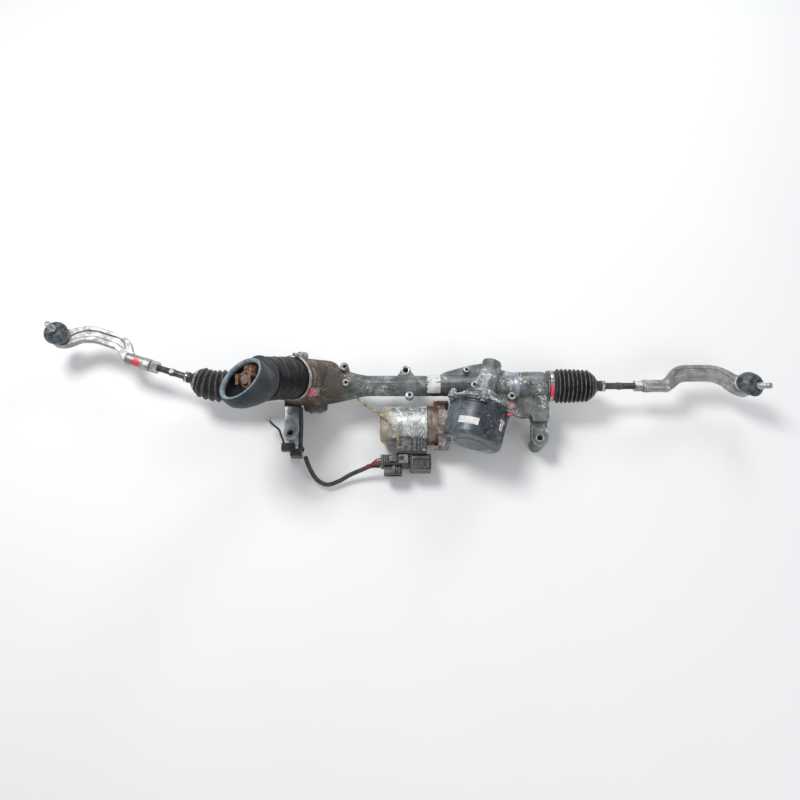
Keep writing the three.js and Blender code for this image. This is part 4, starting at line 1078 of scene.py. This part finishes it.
def gear_can():
    shape = turned(filleted([
        (0, 52.3), (RIM_R, 52.3), (RIM_R, 56.6), (CASE_R - 1.4, 57.6), (CASE_R - 1.4, 60.5), (CASE_R, 62),
        (CASE_R, 116), (53.8, 121), (49, 123.2), (36, 123.8), (30, 123.8), (28.5, 125), (0, 125)], 1.4),
        ASSIST, ASSIST_AXIS, 128)
    hollow = turned([
        (0, 50), (51, 50), (51, 110), (22, 112), (22, 92), (17.5, 92), (17.5, 116), (0, 116)],
        ASSIST, ASSIST_AXIS, 96)
    lugs = [rod(rim_point(t, 52.3), rim_point(t, 56.8), 8.4) for t in RIM_LUGS[:3]]
    clear = [
        hollow, rod(on_motor(60), on_motor(MOTOR.x + 80), 18.2), rod(on_motor(90), on_motor(109), 32.7, 18.7),
        brick((60, 93), (-140, 0), (-90, 20)), brick((40, 230), (-140, -30), (-90, MOTOR.z + 12.5)),
        *[rod(rim_point(t, 38), rim_point(t, 70), 4.7, sides=24) for t in RIM_LUGS[:3]],
    ]
    body = cut(joined(shape, *lugs), *clear)
    piece("gear_can", eased(body, 0.5, 2, 50), "can", replaces=["gear_cover"], crease=30)
    piece("rim_bolt_1", rim_bolt(RIM_LUGS[0]), "painted_bolt", replaces=["cover_bolt"])
    for k, turn in enumerate(RIM_LUGS[1:3]):
        piece(f"rim_bolt_{k + 2}", rim_bolt(turn), "steel")
    piece("can_gasket", ring(on_assist(52.0), on_assist(52.4), 57.3, 52, 96, 0.1), "rubber")
    label = wrapped_sheet(ASSIST, ASSIST_AXIS, CASE_R + 0.25, 92, 105, perpendicular(ASSIST_AXIS, Z), -3,
        36, 0.3)
    piece("can_label", label, "clean_paper")
    clip_out = perpendicular(ASSIST_AXIS, Vector((0.80, 0, 0.60)))
    clip_side = ASSIST_AXIS.cross(clip_out)
    clips = [
        eased(prism([(-4, -10), (4, -10), (4, 10), (-4, 10)], 2.2,
            on_assist(88) + clip_out * (CASE_R - 0.6), clip_side, ASSIST_AXIS), 0.6),
        eased(prism([(-7, -3), (7, -3), (7, 3), (-7, 3)], 3.2,
            on_assist(80) + clip_out * (CASE_R - 0.6), clip_side, ASSIST_AXIS), 0.6),
    ]
    piece("can_clip", joined(*clips), "clamp")


def rim_bolt(turn):
    far, near = rim_point(turn, 44), rim_point(turn, 58.5)
    return joined(
        rod(far, near, 4.2, sides=32),
        hexagon(rim_point(turn, 42.6), ASSIST_AXIS, 10, 5.6, 0.2),
        rod(rim_point(turn, 44.9), rim_point(turn, 45.9), 6.6, sides=40),
        hexagon(rim_point(turn, 59.4), ASSIST_AXIS, 9, 4.6, 0.5),
    )


def wrapped_sheet(origin, axis, r, s0, s1, out, from_deg, to_deg, thick, ragged=0.0, seed=1):
    """A thin sheet lying round a cylinder, from one angle to another about the direction out."""
    side = axis.cross(out)
    points, faces = [], []
    rows, columns = 24, 30
    dice = random.Random(seed)
    torn = [ragged * (0.4 * sin(i * 1.1) + dice.random()) for i in range(columns + 1)]
    for layer in (thick, 0.0):
        for i in range(columns + 1):
            a = radians(from_deg + (to_deg - from_deg) * i / columns)
            for j in range(rows + 1):
                s = s0 + torn[i] + (s1 - s0 - torn[i]) * j / rows
                points.append(origin + axis * s + (out * cos(a) + side * sin(a)) * (r + layer))
    size = (columns + 1) * (rows + 1)
    for i in range(columns):
        for j in range(rows):
            a = i * (rows + 1) + j
            faces.append((a, a + 1, a + rows + 2, a + rows + 1))
            faces.append(tuple(size + k for k in (a, a + rows + 1, a + rows + 2, a + 1)))
    rim = [j for j in range(rows)] + [i * (rows + 1) + rows for i in range(columns)]
    rim += [columns * (rows + 1) + j for j in range(rows, 0, -1)] + [i * (rows + 1) for i in range(columns,
        0, -1)]
    for a, b in zip(rim, rim[1:] + rim[:1]):
        faces.append((a, b, b + size, a + size))
    return points, faces


def tube_label():
    sheet = wrapped_sheet(Vector((0, 0, 0)), X, TUBE_R + 0.5, 50, 76, Z, -60, 62, 0.3, 2.4, 4)
    piece("tube_label", sheet, "paper")


# ---- the motor and its control unit
def motor():
    left, right = (corner.x for corner in box("motor_can"))
    shell = turned(filleted([
        (0, left + 3), (10, left + 2.4), (12, left), (26, left), (33, left + 3), (36, left + 9),
        (36, left + 30), (35.3, left + 31), (35.3, left + 33), (36, left + 34), (36, right - 8),
        (36.6, right - 6),
        (36.6, right), (32.8, right), (32.8, left + 12), (0, left + 12),
    ], 1.2), on_motor(0), X, 112)
    piece("motor_shell", shell, "motor", replaces=["motor_can"])
    plate = motor_plate(71, 85)
    collar = turned(filleted([
        (33, right + 0.3), (38, right + 0.3), (38, 58), (37, 59.5), (37, 62.5), (38, 64), (38, 72),
        (33, 72)], 0.7),
        on_motor(0), X, 112)
    body = cut(joined(plate, collar), rod(on_motor(right), on_motor(73), 33),
        rod(on_motor(60), on_motor(90), 9))
    piece("motor_flange_casting", rippled(eased(body, 1.0, 2), 8, 0.25), "flange",
          replaces=["motor_flange"])
    for k, (offset, look) in enumerate(((43.6, "painted_bolt"), (-43.6, "steel"))):
        bolt(f"flange_bolt_{k + 1}", Vector((71, MOTOR.y + offset, MOTOR.z)), -X, 9, 6, look)
    piece("flange_paint_dab", rippled(cast(rod(
        Vector((70.4, MOTOR.y + 37, MOTOR.z + 8)), Vector((84, MOTOR.y + 40, MOTOR.z + 7)), 4.6), 0.8, 4),
        4, 0.8),
        "painted_bolt")


def control_unit():
    low, high = box("control_unit")
    bottom = low.z
    main = eased(brick((-8, 50), (-130, -83.3), (bottom, -8)), 2.2, 3)
    side = eased(brick((18, 58), (-158, -128), (bottom, -18)), 2.0, 3)
    steps = [eased(brick((-5, 30), (-126, -102), (-12, -5.6)), 1.2, 2)]
    ribs = [eased(brick((x, x + 1.8), (-128, -96), (-9, -6.6)), 0.4) for x in (-2, 6, 14, 34, 40, 46)]
    lids = [eased(brick((22, 54), (-155, -133), (-19, -16.4)), 1.0, 2)]
    grooves = [
        brick((-9, 51), (-131, -129.4), (-30, -28.6)), brick((-9, -7.2), (-131, -80), (-30, -28.6)),
        brick((17, 59), (-159, -157.4), (-34, -32.6)), brick((57.2, 59), (-159, -127), (-34, -32.6)),
    ]
    sockets = [eased(brick((24 + 11 * i, 32 + 11 * i), (-150, -139), (-18, -10)), 0.8) for i in range(3)]
    clear = [
        rod(on_motor(-40), on_motor(51.5), 37, edge=0), rod(on_motor(50.9), on_motor(85), 38.6, edge=0),
        *grooves, *sockets,
    ]
    body = cut(joined(main, side, *steps, *ribs, *lids), *clear)
    piece("control_unit_case", body, "plastic", replaces=["control_unit"], crease=30)
    for k, (x, y, z) in enumerate(((-3.5, -98.6, -8), (46, -124, -8), (46, -99.6, -8), (21, -131.5, -18))):
        head = joined(rod(Vector((x, y, z - 1)), Vector((x, y, z + 1.5)), 3.0, 2.6, 28))
        head = cut(head, hexagon(Vector((x, y, z + 1.6)), Z, 3.2, 1.6))
        piece(f"unit_screw_{k + 1}", head, "steel")


def harness_connector():
    bottom = box("control_unit")[0].z
    shell = joined(
        eased(brick((-36, 17.5), (-150, -130.5), (bottom + 2, -14)), 1.4, 3),
        eased(brick((-30, 4), (-166, -149), (bottom + 8, -22)), 1.4, 3),
        eased(brick((-20, -6), (-145, -134), (-15, -9)), 1.0, 2),
        *[eased(brick((x, x + 1.6), (-149, -132), (-15, -12.6)), 0.4) for x in (-33, -29, -25, 2, 6, 10)],
        *[eased(brick((x, x + 1.4), (-165, -150), (-23, -20.8)), 0.4) for x in (-27, -22, -17, -12, -7, -2)],
    )
    clear = [brick((-37, -34.4), (-148, -133), (-44, -18)), brick((-26, 0), (-167, -164.6), (-38, -27))]
    piece("connector_shell", cut(shell, *clear), "plastic", replaces=["harness_connector"], crease=30)
    latch = joined(
        eased(brick((-2, 15), (-148, -143.5), (-15, -9.4)), 0.9),
        eased(brick((-2, 15), (-136, -131.8), (-15, -9.4)), 0.9),
        eased(brick((8, 15), (-148, -131.8), (-13.4, -8.8)), 0.9),
    )
    piece("connector_latch", latch, "grey_plastic")
    lock = joined(
        eased(brick((-29, -9), (-165, -158), (-22.4, -18.6)), 0.9),
        eased(brick((-14, -9), (-165.6, -150), (-22.4, -17.4)), 0.9),
    )
    piece("connector_lock", lock, "brown_plastic")
    for k, (y, z, look) in enumerate((
            (-137, -22, "red_wire"), (-141, -26, "brown_wire"), (-145, -21, "red_wire"),
            (-138, -32, "grey_wire"),
            (-146, -31, "brown_wire"), (-142, -38, "red_wire"))):
        line, _ = along_line([
            (-34, y, z), (-41, y - 0.5, z + 1), (-50, (y - 147) / 2, (z - 34) / 2 + 1),
            (-60, -148 + (k % 3 - 1) * 2.6, -33.4 - (k % 2) * 4), (-66, -150 + (k % 3 - 1) * 1.2, -38),
        ], 1.2)
        piece(f"harness_wire_{k + 1}", tube(line, 1.25, 10), look)


# ---- cords, on the routes that the CAD solids have
CONDUIT_PITCH, CONDUIT_GROOVE = 3.2, 0.55
SLEEVE_PITCH, SLEEVE_GAP = 26, 3.2
SLEEVE_R, LEAD_R = 2.6, 1.9
CORD_STEP, CORD_SIDES = 0.55, 20


def corrugated(r):
    return lambda way: r - CONDUIT_GROOVE * (0.5 - 0.5 * cos(2 * pi * way / CONDUIT_PITCH)) ** 2


def cord(name, points, radius, look, node):
    line, length = along_line(points, CORD_STEP)
    thing = piece(name, tube(line, radius, CORD_SIDES), look, replaces=[node], crease=70)
    metres(points[0])
    [metres(p) for p in line]
    return line


def sleeved(way):
    """A lead in short sleeves with bare gaps between them."""
    place = (way + 4) % SLEEVE_PITCH
    return LEAD_R if place < SLEEVE_GAP else SLEEVE_R


def cords():
    cord("harness_conduit_run", [
        (-37, -147, -34), (-54, -147, -36), (-70, -152, -42), (-93, -160, -50), (-117, -172, -56),
        (-138, -178, -56), (-156, -170, -52), (-170, -150, -44), (-179, -128, -36),
    ], corrugated(4.4), "conduit", "harness_conduit")
    cord("sensor_conduit_run", [
        (-188, -115.4, -33), (-188, -108, -33), (-188, -95, -29), (-187, -78, -22), (-187, -58, -12),
        (-187, -42, -4),
    ], corrugated(4.4), "conduit", "sensor_conduit")
    cord("sensor_lead_run", [
        (-80, -26, 2), (-62, -42, 4), (-40, -58, 11), (-22, -76, 14), (-8, -97, 12), (-3, -110, 5),
        (-3, -111, -1), (-3, -111, -7.4),
    ], sleeved, "cream", "sensor_lead")
    tip = Vector((-252, -56, -26))
    tee = joined(rod(tip + Vector((-4, -3.4, 0)), tip + Vector((4, 3.4, 0)), 2.6, sides=24),
            rod(tip - Vector((-4, 5, 1)), tip, 2.9, sides=24))
    plug = piece("branch_plug", tee, "grey_plastic")
    cord("branch_lead_run", [
        (-220, -103.4, -34), (-222, -97, -34), (-226, -88, -32), (-230, -78, -30), (-244, -66, -28),
        (-252, -56, -26),
    ], lambda way: 2.2 - 0.25 * (0.5 - 0.5 * cos(way * 1.9)), "conduit", "branch_lead")
    harness_clip()


def harness_clip():
    centre = Vector((-199, -118, -34))
    low_block = eased(brick((centre.x - 7, centre.x + 14.5), (centre.y - 13, centre.y + 2), (-44, -24)),
        2.0, 3)
    high_block = eased(brick((centre.x - 25, centre.x + 1), (centre.y - 1, centre.y + 14), (-41, -27)), 2.0,
        3)
    ridges = [eased(brick((centre.x - 23 + 5 * i, centre.x - 21.4 + 5 * i), (centre.y, centre.y + 13),
        (-28, -25.4)), 0.4)
            for i in range(4)]
    strap = [ring(Vector((-190, -119, -34)), Vector((-186, -121.5, -34)), 11, 8.6, 40)]
    body = joined(low_block, high_block, *ridges)
    piece("harness_clip_block", body, "plastic", replaces=["harness_clip"], crease=30)
    piece("harness_clip_strap", strap[0], "plastic")


# ---- tie rods and ball joints
ROD_R = 6.3
THREAD_PITCH = 1.5


def thread(start, end, depth):
    """A helical groove between two stations, for a lathed body."""
    def shape(a, s, r):
        if not start < s < end:
            return 0
        phase = (s / THREAD_PITCH - a / (2 * pi)) % 1
        return -depth * abs(2 * phase - 1)
    return shape


def stations(start, end, step):
    count = max(1, round((end - start) / step))
    return [start + (end - start) * i / count for i in range(count + 1)]


def tie_rod(side):
    ball, axis, link = BALL[side], ROD[side], f"link_{side}"
    head = [(12.3 * cos(a), 12.3 * sin(a)) for a in (radians(-90 + 6 * i) for i in range(26))]
    profile = [(0, -12.3)] + head[1:] + [(5.6, 15), (5.7, 18), (ROD_R, 26)]
    profile += [(ROD_R, s) for s in (40, 60, 80, 95)] + [(ROD_R, s) for s in stations(97, 139, 0.3)]
    profile += [(ROD_R, 162), (0, 162)]
    piece(f"tie_rod_bar_{side}", turned(profile, ball, axis, 40, thread(98, 137, 0.55)), "dark_steel", link,
          replaces=[f"tie_rod_{side}"], crease=50)
    flats = [ball + axis * s for s in (86, 94)]
    collar = hexagon((flats[0] + flats[1]) / 2, axis, 13.2, 8)
    piece(f"rod_wrench_flats_{side}", cut(collar, rod(ball + axis * 80, ball + axis * 100, 6.1)),
          "dark_steel", link)
    nut = cut(hexagon(ball + axis * 126, axis, 20, 15, 0.25),
        rod(ball + axis * 110, ball + axis * 140, ROD_R + 0.15))
    piece(f"jam_nut_hex_{side}", nut, "steel", link, replaces=[f"jam_nut_{side}"])
    outer_end(side)
    ball_stud(side)


ARM = [(172, -11), (186, -10), (198, -1), (212, 11), (262, 12), (284, 6), (300, -10), (314, -18), (328, -18),
       (328, 18), (314, 19), (302, 28), (282, 38), (262, 41), (208, 40), (192, 33), (178, 14), (172, 12)]
CHANNEL = [(192, 15), (204, 16), (214, 20), (262, 21), (286, 11), (303, -3), (308, 5), (298, 18), (281, 29),
        (262, 33), (213, 33), (201, 28)]


def outer_end(side):
    ball, axis, link = BALL[side], ROD[side], f"link_{side}"
    centre = STUD[side]
    up = (Y - axis * axis.y).normalized()
    turned_up = axis.cross(up).z > 0

    def layer(outline, low, high, size):
        start = ball + Z * (low if turned_up else high)
        return prism(curved(outline, size, 4), high - low, start, axis, up)

    socket = turned(filleted([
        (0, -17), (13, -17), (17.5, -14.5), (19, -9), (19, 10), (17.6, 13), (0, 13)], 1.5), centre, Z, 64)
    shank = rod(ball + axis * 134.5, ball + axis * 184, 12, 11.5, 48, 1.2)
    collar = hexagon(ball + axis * 141, axis, 22.6, 13)
    body = joined(shank, collar, layer(ARM, -8, 8, 9), socket)
    body = cut(body, layer(CHANNEL, 4.2, 10, 4), layer(CHANNEL, -10, -4.2, 4))
    rough = rippled(cast(body, 1.0, 5), 11, 0.3)
    cavity = [
        turned([(0, -14.4)] + [(14.4 * cos(a), 14.4 * sin(a)) for a in
            (radians(-80 + 16 * i) for i in range(11))] + [(0, 14.4)], centre, Z, 48),
        rod(centre + Z * 7, centre + Z * 16, 11.6, 17),
        rod(ball + axis * 130, ball + axis * 164, ROD_R + 0.2),
    ]
    piece(f"outer_end_forging_{side}", cut(rough, *cavity), "forged", link, replaces=[f"outer_end_{side}"])
    piece(f"ball_cap_{side}", turned(filleted([
        (0, -17.6), (9, -17.6), (11, -16.6), (13.4, -16.4), (13.4, -15.4), (0, -15.4)], 0.5), centre, Z, 56),
        "steel", link)


def ball_stud(side):
    centre, axis = STUD[side], STUD_AXIS[side]
    head = [(11.5 * cos(a), 11.5 * sin(a)) for a in (radians(-90 + 6 * i) for i in range(26))]
    profile = [(0, -11.5)] + head[1:] + [(4.6, 14), (4.6, 19.6), (6.9, 22.6), (7.3, 24), (7.6, 27),
        (6.4, 42), (5.5, 43)]
    profile += [(5.5, s) for s in stations(43.6, 57, 0.3)] + [(4.7, 58), (1.8, 58), (1.4, 57.2), (0, 57)]
    piece(f"ball_stud_pin_{side}", turned(profile, centre, axis, 40, thread(43.8, 57, 0.55)), "thread",
          f"stud_{side}", replaces=[f"ball_stud_{side}"], crease=50)
    boot = [
        (17.9, 13.4), (19.6, 13.5), (20.4, 14.2), (20.2, 15.4), (21.9, 16.8), (22.9, 19), (22.8, 21),
        (21.4, 24.6),
        (19.4, 27.4), (16.6, 29.6), (13.8, 31), (12.7, 31.2), (12.4, 32.2), (11.4, 33), (9, 33), (8.6, 32.4),
        (8.6, 29.4), (12, 28.2), (17, 25), (19.6, 21), (18.6, 16), (17.9, 15),
    ]
    bend_axis = Z.cross(axis).normalized()
    spin = Matrix.Rotation(Z.angle(axis), 3, bend_axis)

    def tilt(point):
        t = min(1, max(0, ((point - centre).dot(Z) - 14) / 14))
        return point.lerp(spin @ (point - centre) + centre, t * t * (3 - 2 * t))

    name = f"stud_boot_rubber_{side}"
    rubber = piece(name, moved(turned(filleted(boot, 1.0), centre, Z, 72), tilt), "stud_rubber", None,
            replaces=[f"stud_boot_{side}"], crease=60)
    metres(centre + Z * 14)
    metres(centre + Z * 28)
    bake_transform(rubber)
    piece(f"stud_boot_ring_{side}", ring(centre + Z * 14.6, centre + Z * 16.2, 21.0, 19.6, 72, 0.6),
        "dark_steel",
          f"link_{side}")


# ---- bellows
BOOTS = {
    "left": dict(end=LEFT_END, crest=31.3, folds=7, seams=(68, 88, 108), total=108, swing=-18),
    "right": dict(end=RIGHT_END, crest=32.8, folds=8, seams=(60, 78, 94), total=94, swing=0),
}


FOLD_DEPTH, FOLD_WALL = 5.6, 2.0
ROD_GAP = 0.35


def bellows_wall(total, crest, folds):
    """Outer and inner radius at each station from the clamped lip to the cuff on the tie rod."""
    cone = total - 26
    rows = []
    for s in stations(-12, 3, 1.5):
        rows.append((s, 28.0 + (0.9 if s < -10.4 or -1.4 < s < 1.4 else 0), 25.8))
    pitch = (cone - 4) / folds
    for s in stations(4, cone, pitch / 12)[1:]:
        t = ((s - 4) / pitch) % 1
        swell = (0.5 - 0.5 * cos(2 * pi * t)) ** 0.75
        top = crest - 2.6 * (s / cone) ** 2
        low = top - FOLD_DEPTH
        r = low + FOLD_DEPTH * swell
        rows.append((s, r, r - FOLD_WALL))
    for s, r in ((cone + 2, crest - 6.6), (cone + 5, crest - 9.5), (cone + 8, crest - 11.4),
        (cone + 10, crest - 13.6),
            (cone + 13, 14.2), (cone + 16, 11.2), (cone + 18, 9.8), (total - 6, 9.5)):
        rows.append((s, r, max(ROD_R + ROD_GAP, r - 1.7)))
    for s in (total - 4, total - 1, total - 0.6, total + 2, total + 2.4, total + 4.6):
        rows.append((s, 9.5 + (0.9 if s in (total - 4, total + 4.6) else 0), ROD_R + ROD_GAP))
    return sorted(rows)


def wall_part(rows, origin, axis):
    outer = [(r, s) for s, r, _ in rows]
    inner = [(r, s) for s, _, r in reversed(rows)]
    return turned(outer + inner, origin, axis, 96)


def bellows(side):
    spec = BOOTS[side]
    out, ball = OUTBOARD[side], BALL[side]
    origin = X * spec["end"]
    rows = bellows_wall(spec["total"], spec["crest"], spec["folds"])
    spin = Matrix.Rotation(radians(spec["swing"]), 3, Z)

    def swing(point):
        t = min(1, max(0, ((point - ball).dot(out) + 22) / 62))
        return point.lerp(spin @ (point - ball) + ball, t * t * (3 - 2 * t))

    seams = [min(rows, key=lambda row: abs(row[0] - seam))[0] for seam in spec["seams"][:2]]
    chunks = [
        ("folds", [r for r in rows if r[0] <= seams[0]], "housing", "rack", out, 3),
        ("end", [r for r in rows if seams[0] <= r[0] <= seams[1]], "rack", f"inner_joint_{side}", out, None),
        ("cuff", [r for r in rows if r[0] >= seams[1]], f"inner_joint_{side}", f"link_{side}", ROD[side],
        None),
    ]
    for name, part_rows, near, far, along, fixed in chunks:
        part = moved(wall_part(part_rows, origin, out), swing)
        first = wall_ring(part_rows[0], origin, out, swing)
        last = wall_ring(part_rows[-1], origin, out, swing)
        base = origin + out * fixed if fixed is not None else origin
        start = max((p - base).dot(along) for p in first) if fixed is None else 0.0
        reach = min((p - base).dot(along) for p in last)
        if name == "cuff":
            reach = min(reach, start + 17)
        label = f"boot_{side}_{name}"
        stands_for = [f"boot_{side}"] if name == "folds" else []
        rubber = piece(label, part, "rubber", None, replaces=stands_for, crease=60)
        metres(base + along * start)
        metres(base + along * reach)
        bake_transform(rubber)
    clamps(side)


def wall_ring(row, origin, out, change):
    s, r, _ = row
    side, other = across(out)
    return [
        change(origin + out * s + (side * cos(a) + other * sin(a)) * r)
        for a in (2 * pi * k / 24 for k in range(24))
    ]


def clamps(side):
    spec = BOOTS[side]
    out, origin = OUTBOARD[side], X * spec["end"]
    strip = turned(filleted([
        (28.9, -9), (29.6, -9), (30, -8.2), (29.6, -5.5), (30, -2.8), (29.6, -2), (28.9, -2)], 0.3), origin,
        out, 112)
    top = origin - out * 5.5
    ear = eased(prism([(-5, 29.2), (5, 29.2), (4.2, 33.0), (1.2, 33.0), (0.8, 31.0), (-0.8, 31.0),
        (-1.2, 33.0), (-4.2, 33.0)],
            6, top - X * 3, Y, Z), 0.5)
    piece(f"boot_clamp_strip_{side}", joined(strip, ear), "clamp", replaces=[f"boot_clamp_{side}"])
    ball, axis, link = BALL[side], ROD[side], f"link_{side}"
    cuff = spec["total"] + 0.4 - abs(ball.x - spec["end"])
    around = ring(ball + axis * (cuff - 2), ball + axis * (cuff + 2), 10.6, 9.6, 64, 0.4)
    up = (Z - axis * axis.z).normalized()
    flat = axis.cross(up)
    ears = [
        rod(ball + axis * cuff + up * 9.8 + flat * k, ball + axis * cuff + up * 14.5 + flat * (k * 2.4),
        1.2, sides=16)
        for k in (-1.6, 1.6)
    ]
    piece(f"cuff_clamp_{side}", joined(around, *ears), "clamp", link)


# ---- pieces that keep their CAD shape
def carried_nodes():
    for name, node in frame["nodes"].items():
        if node.hide_render:
            continue
        node.data.materials.clear()
        node.data.materials.append(LOOK[CARRIED[SLOTS[name]]])


# ---- floor and light
def floor_finish():
    f = Finish("studio_floor")
    colour = f.mix(f.noise(300, 3), (0.90, 0.90, 0.90), (0.93, 0.93, 0.93))
    return f.shade(colour, 0.9)


FLOOR_REACH = 30.0
SKY_COLOUR = (0.93, 0.96, 1.0, 1)
SKY_STRENGTH = 0.46
LIGHT_AIM = Vector((0, 0, 0.08))
LIGHTS = [  # name, place and size in metres, watts
    ("key", (-0.8, 0.7, 1.9), 0.7, 27),
    ("fill", (1.3, -1.2, 1.5), 1.1, 8),
    ("rim", (0.7, 1.5, 1.1), 0.7, 7),
]


def studio():
    reach = FLOOR_REACH
    mesh = bpy.data.meshes.new("floor")
    mesh.from_pydata([(-reach, -reach, 0), (reach, -reach, 0), (reach, reach, 0), (-reach, reach, 0)], [],
        [(0, 1, 2, 3)])
    mesh.materials.append(floor_finish())
    placed("floor", mesh)

    world = bpy.data.worlds.new("studio")
    world.use_nodes = True
    background = world.node_tree.nodes["Background"]
    background.inputs["Color"].default_value = SKY_COLOUR
    background.inputs["Strength"].default_value = SKY_STRENGTH
    bpy.context.scene.world = world

    for name, place, size, power in LIGHTS:
        data = bpy.data.lights.new(name, "AREA")
        data.shape = "DISK"
        data.size = size
        data.energy = power
        light = placed(name, data)
        light.location = place
        aim = LIGHT_AIM - light.location
        light.rotation_euler = aim.to_track_quat("-Z", "Y").to_euler()
    bpy.context.scene.view_settings.view_transform = "Standard"


# ---- the whole object
harness_connector()
cords()
rack_housing()
yoke_plugs()
left_bracket()
input_tower()
input_shaft()
gear_case()
gear_can()
tube_label()
motor()
control_unit()
for hand in ("left", "right"):
    tie_rod(hand)
    bellows(hand)
carried_nodes()
studio()
